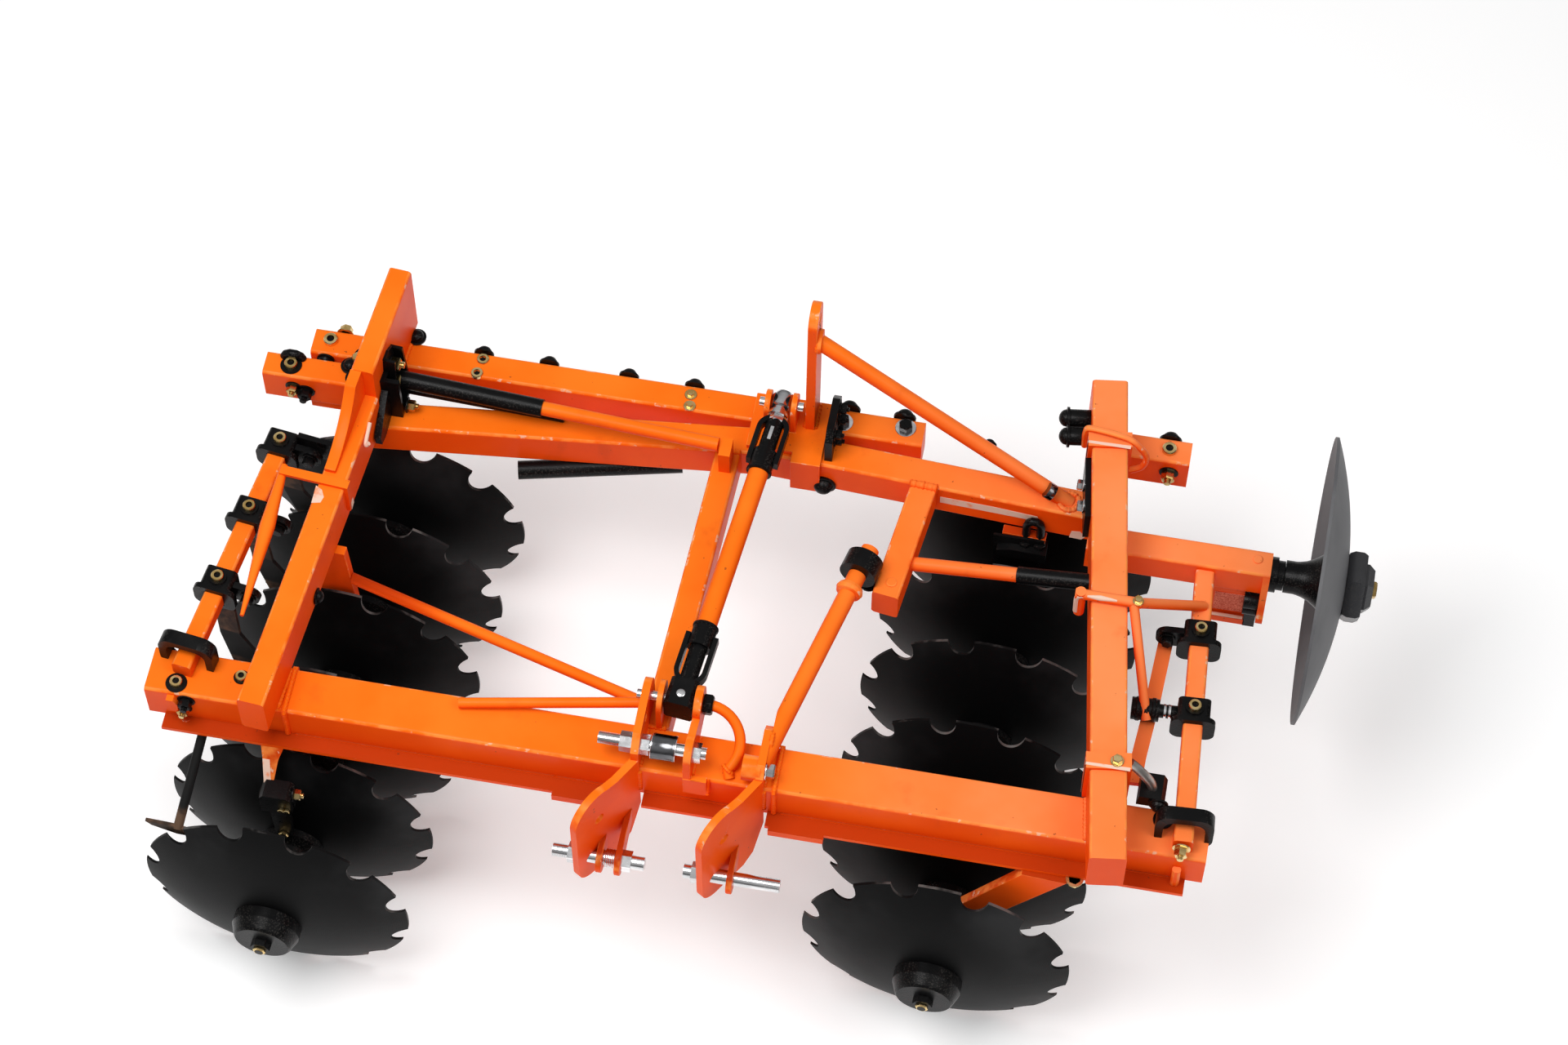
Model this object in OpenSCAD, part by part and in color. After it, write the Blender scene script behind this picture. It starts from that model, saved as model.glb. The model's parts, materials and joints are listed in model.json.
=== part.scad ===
// Mounted disc harrow: two gangs of notched discs under a welded tube frame,
// a two-plate hitch in front and one plain side disc on the right.
// Setting-out point: rim centre of the front left disc, +X along the near beam, +Y to the rear.

/* [Discs] */
// Diameter of a notched gang disc
disc_d = 560; // [480:10:640]
// Plate thickness of a gang disc
disc_t = 5; // [4:0.5:8]
// Depth of a gang disc's dish
disc_dish = 70; // [50:5:90]
// Distance between neighbouring discs on a gang
disc_pitch = 190; // [180:5:210]
// Discs on each gang
disc_count = 6; // [6:1:7]
// Notches round a gang disc
notch_count = 12; // [8:1:14]
// Radius of a notch
notch_r = 29; // [20:1:34]
// Diameter of the plain side disc
side_d = 600; // [500:10:660]
// Plate thickness of the side disc
side_t = 6; // [4:0.5:8]
// Depth of the side disc's dish
side_dish = 60; // [40:5:80]

/* [Gangs] */
// Angle of both gangs in plan, rear end to the right
gang_angle = 2.5; // [0:0.5:4]
// Distance between the first discs of the two gangs
gang_span = 1360; // [1300:10:1400]
// How far the right gang sits behind the left one
gang_stagger = 120; // [100:5:135]
// Side of the square gang axle
axle_side = 32; // [26:1:40]
// Radius of a spool between two discs
spool_r = 38; // [34:1:44]
// Radius of a spool's end flange
flange_r = 62; // [56:1:70]
// Thickness of a spool's end flange
flange_t = 12; // [8:1:16]
// Radius of the bell on the gang's front end
bell_r = 71; // [64:1:80]
// Outer radius of a bearing housing
housing_r = 60; // [54:1:66]
// Length of a bearing housing
housing_len = 60; // [50:1:70]

/* [Cross beams] */
// Gap between the discs' top and the near beam
beam_clear = 40; // [25:5:60]
// Length of the near beam
near_len = 2156; // [2120:2:2200]
// Width of the near beam
near_w = 100; // [80:5:110]
// Height of the near beam
near_h = 100; // [80:5:120]
// Left end of the near beam from the setting-out point
near_left = -284; // [-300:1:-282]
// Width of the ledge along the near beam's foot
ledge_w = 34; // [24:1:44]
// Thickness of that ledge
ledge_t = 10; // [6:1:14]
// Width of the middle beam
middle_w = 66; // [56:1:76]
// Height of the middle beam
middle_h = 90; // [75:1:95]
// Middle beam's centre line at the left gang beam
middle_left_y = 925; // [915:1:935]
// Middle beam's centre line at its kink
middle_kink_y = 1012; // [1005:1:1015]
// Middle beam's centre line at the right gang beam
middle_right_y = 976; // [970:1:985]
// Where the middle beam kinks
middle_kink_x = 850; // [830:1:860]
// Width of the rear beam and the short stubs
rear_w = 62; // [56:1:64]
// Height of the rear beam and the short stubs
rear_h = 95; // [80:1:105]
// Centre line of the rear beam
rear_y = 1087; // [1084:1:1095]
// Left end of the rear beam
rear_left = -145; // [-180:1:-120]
// Right end of the rear beam
rear_right = 1166; // [1120:1:1200]
// Corner radius of the square tubes
tube_r = 8; // [4:1:12]

/* [Gang beams] */
// Width of the left gang beam
left_beam_w = 56; // [50:1:64]
// Height of the left gang beam
left_beam_h = 110; // [90:1:130]
// Angle of the left gang beam in plan
left_beam_angle = 4.6; // [3:0.1:5]
// Width of the right gang beam
right_beam_w = 74; // [60:1:80]
// Height of the right gang beam
right_beam_h = 120; // [90:1:130]
// Angle of the right gang beam in plan
right_beam_angle = -7.7; // [-9:0.1:-6]
// Length of the right gang beam
right_beam_len = 1100; // [1080:5:1140]
// Height of the tower on the left gang beam's rear end
tower_h = 200; // [160:5:240]
// Width of that tower
tower_w = 48; // [40:1:54]

/* [Hitch] */
// Thickness of the hitch plates
hitch_t = 16; // [12:1:20]
// Distance between the two main hitch plates
hitch_span = 252; // [240:2:270]
// Diameter of the lower hitch pins
lower_pin_d = 28; // [22:1:32]
// Diameter of the top hitch pin
top_pin_d = 25; // [19:1:28]
// Angle by which the hitch plates turn to the left in front of the near beam
hitch_flare = 30; // [20:1:34]
// Distance of the lower pins ahead of the near beam, along the turned plates
lower_pin_ahead = 150; // [140:1:156]
// Distance of the lower pins below the near beam's top
lower_pin_drop = 155; // [145:1:165]

/* [Links and stays] */
// Diameter of the levelling link's tube
link_d = 42; // [34:1:48]
// Diameter of the hitch stay
stay_d = 38; // [30:1:44]
// Diameter of the mast brace
brace_d = 34; // [26:1:40]
// Height of the mast above the splice plate
mast_h = 380; // [320:5:430]
// Diameter of the gang adjuster rods
adjuster_d = 30; // [24:1:34]

/* [Scrapers] */
// Side of the square scraper bars
scraper_bar = 40; // [34:1:46]
// Width of a scraper blade
blade_w = 46; // [36:1:56]
// Thickness of a scraper blade
blade_t = 8; // [6:1:10]

/* [Hidden] */
$fn = 48;
orange = "#F26A14";
black = "#1C1C1E";
steel = "#26272A";
zinc = "#D9B25A";
chrome = "#D5D7DA";
pin_clear = 0.05;
seat_clear = 0.2;
run_clear = 0.3;
disc_r = disc_d / 2;
axle_z = disc_r;
frame_top = disc_d + beam_clear + near_h;
near_foot = frame_top - near_h;
first_bearing = 1.5 * disc_pitch - disc_dish;
near_front = first_bearing - 7;
near_back = near_front + near_w;
near_y = near_front + near_w / 2;
near_right = near_left + near_len;
dish_r = (pow(disc_r, 2) + pow(disc_dish, 2)) / (2 * disc_dish);
side_dish_r = (pow(side_d / 2, 2) + pow(side_dish, 2)) / (2 * side_dish);
// Longer and higher than anything here, for boxes that only cut
far = 2 * near_len;

// Gang ends, measured along the axle from the first disc's rim
bell_len = 46;
nut_len = 14;
nut_d = 42;
tip_len = 8;
tip_d = 18;
washer_len = 26;
axle_front = -disc_dish - bell_len - nut_len - tip_len;
function hub_y(k) = k * disc_pitch - disc_dish;

// Left gang beam: its line in plan
left_front_y = near_front - 48;
left_front_x = -40;
left_rear_y = 905;
tower_rear_y = 1165;
function left_line_x(y) = left_front_x + (y - left_front_y) * tan(left_beam_angle);

// Right gang beam: its line in plan
right_front_y = near_front - 86;
right_beam_offset = 321;
right_front_x = gang_span + right_beam_offset;
function right_line_x(y) = right_front_x + (y - right_front_y) * tan(right_beam_angle);
right_rear_y = right_front_y + right_beam_len * cos(right_beam_angle);

// Middle beam: centre line in plan
middle_left_x = -12;
middle_right_x = right_line_x(middle_right_y) + 10;
middle_foot = frame_top - middle_h;
left_half_angle = atan2(middle_kink_y - middle_left_y, middle_kink_x - middle_left_x);
right_half_angle = atan2(middle_right_y - middle_kink_y, middle_right_x - middle_kink_x);
function middle_line_y(x) = x < middle_kink_x
    ? middle_kink_y + (x - middle_kink_x) * tan(left_half_angle)
    : middle_kink_y + (x - middle_kink_x) * tan(right_half_angle);

// Side disc and its arm
arm_y = 905;
arm_w = 60;
arm_h = 80;
arm_front = arm_y - arm_w / 2;
arm_right = near_right + 48;
side_axle_z = frame_top - arm_h / 2;
side_axle_d = 40;
side_axle_root = 110;
side_axle_out = 90;
side_rim_x = arm_right + 96;
side_apex_x = side_rim_x + side_dish;
side_hub_r = 60;
side_tip_x = side_rim_x + 124;

// Hitch: plates flat over the near beam and turned to the left in front of it
hitch_left_x = 726;
hitch_right_x = hitch_left_x + hitch_span;
hitch_centre_x = hitch_left_x + 106;
lower_pin_y = near_front - lower_pin_ahead * cos(hitch_flare);
lower_pin_shift = lower_pin_ahead * sin(hitch_flare);
lower_pin_z = frame_top - lower_pin_drop;
// The pins are turned down from this shank where a tractor's link goes on
lower_shank_d = lower_pin_d + 2;
lower_nut_len = 16;
lower_nut_gap = 24;
top_pin_y = near_front + 28;
top_pin_z = frame_top + 58;
link_pin_y = near_front + 132;
link_pin_z = frame_top + 70;
link_pin_d = 20;
link_pin_out = 12;
link_lobe_r = 36;
// Both parts of a hitch plate run past the bend by this much, so that they close it
bend_in = 3;
paddle_foot = near_foot - 40;
paddle_top = frame_top + 42;
spare_ahead = 118;
spare_drop = 32;
spare_d = 26;
ear_t = 12;
left_ears = [26, 64];
right_ears = [40];

// Levelling link
link_start = [hitch_centre_x - 37, link_pin_y, link_pin_z];
link_end = [868, 1062, link_pin_z];
link_len = norm(link_end - link_start);
link_angle = atan2(link_end[1] - link_start[1], link_end[0] - link_start[0]);
link_end_len = 170;
splice_t = 12;
splice_left = 806;
splice_right = 966;
mast_x = 930;
mast_t = 20;

// Inner arm and hitch stay
inner_root_x = 1190;
inner_root = [inner_root_x, middle_line_y(inner_root_x)];
inner_tip = [1150, 690];
inner_w = 56;
inner_h = 80;
stay_top = [1104, 778, frame_top + 22];
stay_foot = [hitch_right_x + 4, near_front + 64, frame_top + 44];
stay_axis = (stay_top - stay_foot) / norm(stay_top - stay_foot);

// Gang adjusters, each from its left end to its right end
left_adjuster = [[60, 985, frame_top + 64], [756, 945, frame_top + 64]];
left_split = 0.46;
right_adjuster_y = 772;
right_adjuster = [
    [inner_tip[0] + 30, 792, frame_top - 34],
    [right_line_x(right_adjuster_y) - 29, right_adjuster_y, frame_top + 40]
];
right_split = 0.6;

// Channel on the inner side of the tower
channel = [58, 90, 130];
channel_y = 930;
channel_x = left_line_x(channel_y) + tower_w / 2 - 18;

// Scraper bars: middle of the foot at the front and the rear end
left_bar_front = [-214, near_y - 6, frame_top];
left_bar_rear = [-137, 828, frame_top];
right_bar_front = [near_right - 50, near_front + 14, frame_top];
right_bar_rear = [near_right - 86, arm_y - 5, frame_top - 58];
band_len = 50;
band_w = 66;
band_t = 13;
band_h = scraper_bar + 2 * band_t;
lug_r = 24;
left_clamps = [206, 380, 552];
right_clamps = [306, 495];
arch_at = 40;

// Bearings: right gang or not, place on the axle, shift of the hanger's top, height of that top, waist
bearing_spots = [
    [false, first_bearing, -20, near_foot, 50],
    [false, first_bearing + 2 * disc_pitch, -30, frame_top, 76],
    [true, hub_y(1) - 2 * flange_t - housing_len / 2 - 5, 200, near_foot, 76],
    [true, hub_y(4.5) + 38, 10, middle_foot, 60]
];

// Overall box, for the origin at its bottom centre
box_left = near_left;
box_right = side_tip_x;
box_front = axle_front * cos(gang_angle) - tip_d / 2 * sin(gang_angle);
box_rear = right_rear_y + right_beam_w / 2 * sin(-right_beam_angle);
mid = [(box_left + box_right) / 2, (box_front + box_rear) / 2, 0];

// Helpers

module placed() {
    translate(-mid) children();
}

module rounded_rect(w, h, r) {
    translate([r, 0]) square([w - 2 * r, h]);
    translate([0, r]) square([w, h - 2 * r]);
    for (x = [r, w - r], y = [r, h - r]) translate([x, y]) circle(r);
}

// Square tube lying flat from plan point p, turned by angle from +X, foot at height z
module tube(p, angle, len, w, h, z) {
    translate([p[0], p[1], z])
        rotate([0, 0, angle])
        translate([0, -w / 2, 0])
        rotate([90, 0, 90])
        linear_extrude(len) rounded_rect(w, h, tube_r);
}

module round_bar(p, q, d) {
    v = q - p;
    translate(p)
        rotate([0, acos(v[2] / norm(v)), atan2(v[1], v[0])])
        cylinder(h = norm(v), d = d);
}

// Plate whose outline lies in Y and Z, thickness t centred on x
module side_plate(x, t) {
    translate([x - t / 2, 0, 0])
        rotate([90, 0, 90])
        linear_extrude(t) children();
}

// Plate whose outline lies in X and Z, thickness t centred on y
module cross_plate(y, t) {
    translate([0, y + t / 2, 0])
        rotate([90, 0, 0])
        linear_extrude(t) children();
}

module cross_pin(x, y, z, len, d) {
    translate([x, y, z]) rotate([0, 90, 0]) cylinder(h = len, d = d);
}

module at_gang(right) {
    translate([right ? gang_span : 0, right ? gang_stagger : 0, axle_z])
        rotate([0, 0, -gang_angle])
        children();
}

// Cylinder along a gang's axle
module along_gang(y, len, d) {
    translate([0, y, 0]) rotate([-90, 0, 0]) cylinder(h = len, d = d);
}

// Frame on a gang beam's centre line at y, Y along the beam, foot of the beam at height 0
module at_left_beam(y) {
    translate([left_line_x(y), y, frame_top]) rotate([0, 0, -left_beam_angle]) children();
}

module at_right_beam(y) {
    translate([right_line_x(y), y, frame_top]) rotate([0, 0, -right_beam_angle]) children();
}

// Frame solids, also used to cut what is welded to them

module near_solid() {
    tube([near_left, near_y], 0, near_len, near_w, near_h, near_foot);
}

module near_box() {
    translate([near_left, near_front, near_foot]) cube([near_len, near_w, near_h]);
}

module left_beam_solid() {
    len = (left_rear_y - left_front_y) / cos(left_beam_angle);
    tube([left_front_x, left_front_y], 90 - left_beam_angle, len, left_beam_w, left_beam_h, frame_top);
}

module tower_solid() {
    len = (tower_rear_y - left_rear_y) / cos(left_beam_angle);
    start = [left_line_x(left_rear_y), left_rear_y];
    tube(start, 90 - left_beam_angle, len, tower_w, tower_h, frame_top);
}

module right_beam_solid() {
    tube([right_front_x, right_front_y], 90 - right_beam_angle, right_beam_len,
        right_beam_w, right_beam_h, frame_top);
}

module middle_left_solid() {
    len = norm([middle_kink_x - middle_left_x, middle_kink_y - middle_left_y]) + middle_w;
    difference() {
        tube([middle_left_x, middle_left_y], left_half_angle, len, middle_w, middle_h, middle_foot);
        translate([middle_kink_x, 0, 0]) cube(far);
    }
}

module middle_right_solid() {
    len = norm([middle_right_x - middle_kink_x, middle_right_y - middle_kink_y]) + middle_w;
    difference() {
        tube([middle_right_x, middle_right_y], 180 + right_half_angle, len,
            middle_w, middle_h, middle_foot);
        translate([middle_kink_x - far, 0, 0]) cube(far);
    }
}

// Everything behind the front face of one of the middle beam's halves
module behind_middle(angle) {
    translate([middle_kink_x, middle_kink_y, 0])
        rotate([0, 0, angle])
        translate([-far / 2, -middle_w / 2, 0]) cube(far);
}

module arm_solid() {
    left = right_line_x(arm_y) - right_beam_w / 2;
    tube([left, arm_y], 0, arm_right - left, arm_w, arm_h, frame_top - arm_h);
}

module inner_arm_solid() {
    v = inner_root - inner_tip;
    tube(inner_tip, atan2(v[1], v[0]), norm(v), inner_w, inner_h, frame_top - inner_h);
}

// Beams

module near_beam() {
    weld_t = 5;
    weld_len = 10;
    weld_bands = [2, hitch_right_x + 24];
    pad_t = 10;
    pads = [[560, 116], [hitch_right_x + 24, 112]];
    slot_left = ledge_w * tan(hitch_flare) + hitch_t;
    color(orange) placed() difference() {
        union() {
            near_solid();
            translate([near_left + ledge_w, near_front - ledge_w, near_foot])
                cube([near_len - 2 * ledge_w, ledge_w + near_w / 2, ledge_t]);
            for (x = weld_bands)
                tube([x, near_y], 0, weld_len, near_w + 2 * weld_t, near_h + weld_t, near_foot);
            for (p = pads)
                translate([p[0], near_front - ledge_w - pad_t, near_foot - pad_t])
                    cube([p[1], near_w, 2 * pad_t]);
        }
        for (x = [hitch_left_x, hitch_right_x])
            translate([x - slot_left, near_front - 2 * ledge_w, near_foot - pad_t])
                cube([slot_left + hitch_t, 2 * ledge_w, 3 * pad_t]);
    }
}

module left_beam() {
    color(orange) placed() left_beam_solid();
}

module left_tower() {
    color(orange) placed() tower_solid();
}

// Curved riser from the left gang beam's top to the tower's front
module left_gusset() {
    rise = tower_h - left_beam_h;
    run = 2.2 * rise;
    thick = 0.5 * tower_w;
    lip = 0.12 * rise;
    color(orange) placed()
        at_left_beam(left_rear_y)
        translate([-tower_w / 2, 0, left_beam_h])
        rotate([90, 0, 90])
        linear_extrude(thick) difference() {
            polygon([[0, 0], [-run, 0], [-run, lip], [-0.55 * run, rise], [0, rise]]);
            translate([-run, lip + run]) circle(run, $fn = 96);
        }
}

module right_beam() {
    color(orange) placed() right_beam_solid();
}

module middle_beam_left() {
    color(orange) placed() middle_left_solid();
}

module middle_beam_right() {
    color(orange) placed() middle_right_solid();
}

module left_stub() {
    left = -233;
    right = 40;
    y = 1015;
    w = 56;
    block = [70, 40, 26];
    block_in = 96;
    color(orange) placed() {
        tube([left, y], 0, right - left, w, middle_h, middle_foot);
        translate([left + block_in, y - block[1] / 2, middle_foot - block[2]])
            cube(block + [0, 0, tube_r]);
    }
}

// Arm of the side disc with a foot plate on its end
module disc_arm() {
    plate_t = 14;
    foot_r = 26;
    foot = [arm_front - 14, frame_top - 122];
    color(orange) placed() difference() {
        union() {
            arm_solid();
            side_plate(arm_right - plate_t / 2, plate_t) {
                polygon([
                    [arm_front, frame_top - tube_r], [arm_y + arm_w / 2, frame_top - tube_r],
                    [arm_y + arm_w / 2, frame_top - arm_h], foot + [foot_r, 0], foot - [foot_r, 0]
                ]);
                translate(foot) circle(foot_r);
            }
        }
        cross_pin(arm_right - side_axle_root, arm_y, side_axle_z, far, side_axle_d + 2 * pin_clear);
    }
}

module rear_beam() {
    color(orange) placed()
        tube([rear_left, rear_y], 0, rear_right - rear_left, rear_w, rear_h, frame_top - rear_h);
}

module rear_stub() {
    y = right_rear_y - 72;
    left = right_line_x(y) - right_beam_w / 2;
    len = 216;
    w = 58;
    color(orange) placed()
        tube([left, y], 0, len, w, rear_h, frame_top - rear_h);
}

module centre_tube() {
    front_x = hitch_left_x + 19;
    rear_x = 772;
    w = 54;
    h = 80;
    rear_y_end = middle_line_y(rear_x);
    angle = atan2(rear_y_end - near_y, rear_x - front_x);
    len = norm([rear_x - front_x, rear_y_end - near_y]);
    lug = [24, 44, 74];
    lug_back = 8;
    color(orange) placed() difference() {
        union() {
            tube([front_x, near_y], angle, len, w, h, frame_top - h);
            translate([rear_x - lug[0] / 2, rear_y_end - middle_w / 2 - lug[1] - lug_back, frame_top - tube_r])
                cube(lug);
        }
        translate([0, near_back - far, 0]) cube(far);
        behind_middle(left_half_angle);
    }
}

// Plate over the kink of the middle beam and the rear beam, with the ears of the levelling link
module splice_plate() {
    front = middle_kink_y - middle_w / 2 + tube_r;
    back = rear_y + rear_w / 2;
    link_ear_t = 12;
    link_ear_gap = 44;
    ear_r = 28;
    cover_left = 904;
    cover_t = 12;
    cover_drop = 90;
    cover_y = middle_line_y(splice_right) - middle_w / 2 - cover_t;
    seat = frame_top + splice_t;
    color(orange) placed() difference() {
        union() {
            translate([splice_left, front, frame_top]) cube([splice_right - splice_left, back - front, splice_t]);
            translate([cover_left, cover_y, frame_top])
                cube([splice_right - cover_left, front - cover_y + tube_r, splice_t]);
            difference() {
                translate([cover_left, cover_y, frame_top - cover_drop])
                    cube([splice_right - cover_left, 3 * cover_t, cover_drop + splice_t / 2]);
                difference() {
                    translate([0, -pin_clear, 0]) behind_middle(right_half_angle);
                    translate([0, 0, frame_top]) cube(far);
                }
            }
            for (side = [-1, 1])
                side_plate(link_end[0] + side * (link_ear_gap + link_ear_t) / 2, link_ear_t) {
                    translate([link_end[1] - ear_r, seat - splice_t / 2])
                        square([2 * ear_r, link_pin_z - seat + splice_t / 2]);
                    translate([link_end[1], link_pin_z]) circle(ear_r);
                }
        }
        cross_pin(splice_left, link_end[1], link_end[2], mast_x - mast_t - splice_left, link_pin_d + 2 * pin_clear);
    }
}

module mast_plate() {
    top_y = rear_y + 12;
    top_r = 36;
    foot_w = 70;
    foot_back = 30;
    base = frame_top + splice_t;
    eye_z = base + mast_h - top_r;
    hole_d = 26;
    color(orange) placed() difference() {
        side_plate(mast_x, mast_t) {
            polygon([
                [rear_y + foot_back - foot_w, base], [rear_y + foot_back, base],
                [top_y + top_r, eye_z], [top_y - top_r, eye_z]
            ]);
            translate([top_y, eye_z]) circle(top_r);
        }
        cross_pin(mast_x - mast_t, top_y, eye_z, 2 * mast_t, hole_d);
    }
}

module mast_brace() {
    face_x = mast_x + mast_t / 2 + run_clear;
    top = [face_x, rear_y - 6, frame_top + splice_t + mast_h - 90];
    foot_x = right_line_x(middle_right_y) - 75;
    foot = [foot_x, middle_line_y(foot_x), frame_top - 10];
    v = foot - top;
    color(orange) placed() difference() {
        round_bar(top - brace_d * v / norm(v), foot, brace_d);
        middle_right_solid();
        translate([face_x - far, 0, 0]) cube(far);
    }
}

// Hitch

// Frame of a hitch plate's lower part, turned about its bend at the near beam's front face
module at_flare(x) {
    translate([x, near_front, 0])
        rotate([0, 0, -hitch_flare])
        translate([0, -near_front, 0])
        children();
}

// Lower part of a hitch plate, in front of the bend
module hitch_paddle() {
    bulge_r = 60;
    bulge = [near_front - 126, frame_top + 5];
    lobe_r = 50;
    lobe = [bulge[0] + lobe_r - bulge_r, lower_pin_z - 25];
    waist = near_front - 60;
    heel = near_front - 30;
    polygon([
        [near_front + bend_in, paddle_top], [waist, paddle_top + 2], bulge + [0, bulge_r], bulge - [bulge_r, 0],
        lobe - [lobe_r, 0], lobe - [0, lobe_r], [waist, lobe[1] - lobe_r - 10],
        [heel, lobe[1] - lobe_r + 6], [near_front + bend_in, paddle_foot]
    ]);
    translate(bulge) circle(bulge_r);
    translate(lobe) circle(lobe_r);
}

module hitch_lower(x) {
    at_flare(x) difference() {
        side_plate(0, hitch_t) hitch_paddle();
        cross_pin(-hitch_t, near_front - spare_ahead, frame_top - spare_drop, 2 * hitch_t, spare_d);
    }
}

module hitch_bores() {
    cross_pin(near_left, lower_pin_y, lower_pin_z, near_len, lower_shank_d + 2 * pin_clear);
    cross_pin(near_left, top_pin_y, top_pin_z, hitch_centre_x + hitch_t - near_left, top_pin_d + 2 * pin_clear);
    cross_pin(near_left, link_pin_y, link_pin_z, near_len, link_pin_d + 2 * pin_clear);
}

module hitch_left() {
    slot = [near_front + 80, frame_top + 74];
    slot_d = 20;
    x = hitch_left_x;
    color(orange) placed() difference() {
        union() {
            side_plate(x, hitch_t) {
                polygon([
                    [near_front - bend_in, frame_top], [link_pin_y + link_lobe_r, frame_top],
                    [link_pin_y + link_lobe_r, link_pin_z], [link_pin_y, link_pin_z + link_lobe_r],
                    [near_front + 30, top_pin_z + 40], [near_front - bend_in, top_pin_z + 12]
                ]);
                translate([link_pin_y, link_pin_z]) circle(link_lobe_r);
            }
            hitch_lower(x);
        }
        near_box();
        hitch_bores();
        cross_pin(x - hitch_t, slot[0], slot[1], 2 * hitch_t, slot_d);
    }
}

// Ear beside the levelling link, with a foot hooked over the near beam's front edge
module hitch_centre() {
    pin_lobe_r = 34;
    foot = [48, 12, 45];
    x = hitch_centre_x;
    color(orange) placed() difference() {
        union() {
            side_plate(x, hitch_t) {
                polygon([
                    [near_front - foot[1], frame_top], [link_pin_y + link_lobe_r, frame_top],
                    [link_pin_y + link_lobe_r, link_pin_z], [link_pin_y - link_lobe_r, link_pin_z],
                    [top_pin_y, top_pin_z + pin_lobe_r], [top_pin_y - pin_lobe_r, top_pin_z]
                ]);
                translate([link_pin_y, link_pin_z]) circle(link_lobe_r);
                translate([top_pin_y, top_pin_z]) circle(pin_lobe_r);
            }
            translate([x - hitch_t / 2, near_front - foot[1], frame_top - foot[2]])
                cube(foot + [0, 0, foot[1]]);
        }
        near_box();
        hitch_bores();
    }
}

module hitch_right() {
    rear = near_front + 120;
    top = frame_top + 66;
    boss_d = 52;
    boss_len = 30;
    x = hitch_right_x;
    color(orange) placed() difference() {
        union() {
            side_plate(x, hitch_t) {
                polygon([
                    [near_front - bend_in, frame_top], [rear, frame_top], [rear, top - 20], [rear - 20, top],
                    [near_front + 20, top], [near_front - bend_in, top - 20]
                ]);
            }
            hitch_lower(x);
            cross_pin(x - hitch_t / 2 - boss_len, near_front + 24, frame_top + 38, boss_len + hitch_t / 2, boss_d);
        }
        near_box();
        cross_pin(near_left, lower_pin_y, lower_pin_z, near_len, lower_shank_d + 2 * pin_clear);
    }
}

// Short ears of the two lower clevises, welded to the turned plates
module hitch_ears() {
    ear_r = 32;
    ear_back = near_front - 18;
    color(orange) placed()
        for (pair = [[hitch_left_x, left_ears], [hitch_right_x, right_ears]], offset = pair[1])
            difference() {
                side_plate(pair[0] - lower_pin_shift + offset, ear_t) {
                    polygon([
                        [ear_back, lower_pin_z + ear_r - 4], [lower_pin_y, lower_pin_z + ear_r],
                        [lower_pin_y, lower_pin_z - ear_r], [ear_back, lower_pin_z - ear_r / 2]
                    ]);
                    translate([lower_pin_y, lower_pin_z]) circle(ear_r);
                }
                at_flare(pair[0]) translate([hitch_t / 2 - far, -far / 2, 0]) cube(far);
                cross_pin(near_left, lower_pin_y, lower_pin_z, near_len, lower_shank_d + 2 * pin_clear);
            }
}

// Pin through a turned plate at x, with a nut on its left; stub and shank are spans along it
module lower_pin(x, stub, shank) {
    cross_pin(x + stub[0], lower_pin_y, lower_pin_z, stub[1] - stub[0], lower_pin_d);
    cross_pin(x + shank[0], lower_pin_y, lower_pin_z, shank[1] - shank[0], lower_shank_d);
    cross_pin(x - lower_nut_gap - lower_nut_len, lower_pin_y, lower_pin_z, lower_nut_len, lower_shank_d + 14,
        $fn = 6);
}

module lower_pin_left() {
    x = hitch_left_x - lower_pin_shift;
    sleeve_in = 4;
    inner_face = left_ears[0] + ear_t / 2 + sleeve_in;
    outer_face = left_ears[1] + ear_t / 2;
    color(chrome) placed() {
        lower_pin(x, [-72, 0], [-lower_nut_gap - lower_nut_len / 2, outer_face + 46]);
        cross_pin(x + inner_face, lower_pin_y, lower_pin_z, left_ears[1] - left_ears[0] - ear_t - 2 * sleeve_in,
            lower_shank_d + 8);
        cross_pin(x + outer_face, lower_pin_y, lower_pin_z, 20, lower_shank_d + 14, $fn = 6);
    }
}

module lower_pin_right() {
    outer_face = right_ears[0] + ear_t / 2;
    color(chrome) placed()
        lower_pin(hitch_right_x - lower_pin_shift, [0, outer_face + 94], [-56, outer_face]);
}

module top_pin() {
    left = hitch_left_x - hitch_t / 2;
    inner_left = hitch_left_x + hitch_t / 2;
    right = hitch_centre_x + hitch_t / 2;
    tail = 70;
    tip = 26;
    top_nut_d = 42;
    bush = [22, 50, 52];
    color(chrome) placed() {
        cross_pin(left - tail, top_pin_y, top_pin_z, right - left + tail + tip, top_pin_d);
        cross_pin(left - 26, top_pin_y, top_pin_z, 26, top_nut_d, $fn = 6);
        cross_pin(inner_left, top_pin_y, top_pin_z, 18, top_nut_d, $fn = 6);
        cross_pin(inner_left + bush[0], top_pin_y, top_pin_z, bush[1], bush[2]);
        cross_pin(right, top_pin_y, top_pin_z, 16, top_nut_d, $fn = 6);
    }
}

// Levelling link

module at_link() {
    translate(link_start) rotate([0, 0, link_angle]) children();
}

module link_tube() {
    color(orange) placed() at_link()
        translate([link_end_len, 0, 0]) rotate([0, 90, 0])
        cylinder(h = link_len - 2 * link_end_len, d = link_d);
}

module link_rod(from, to, d) {
    translate([from, 0, 0]) rotate([0, 90, 0]) cylinder(h = to - from, d = d);
}

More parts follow.
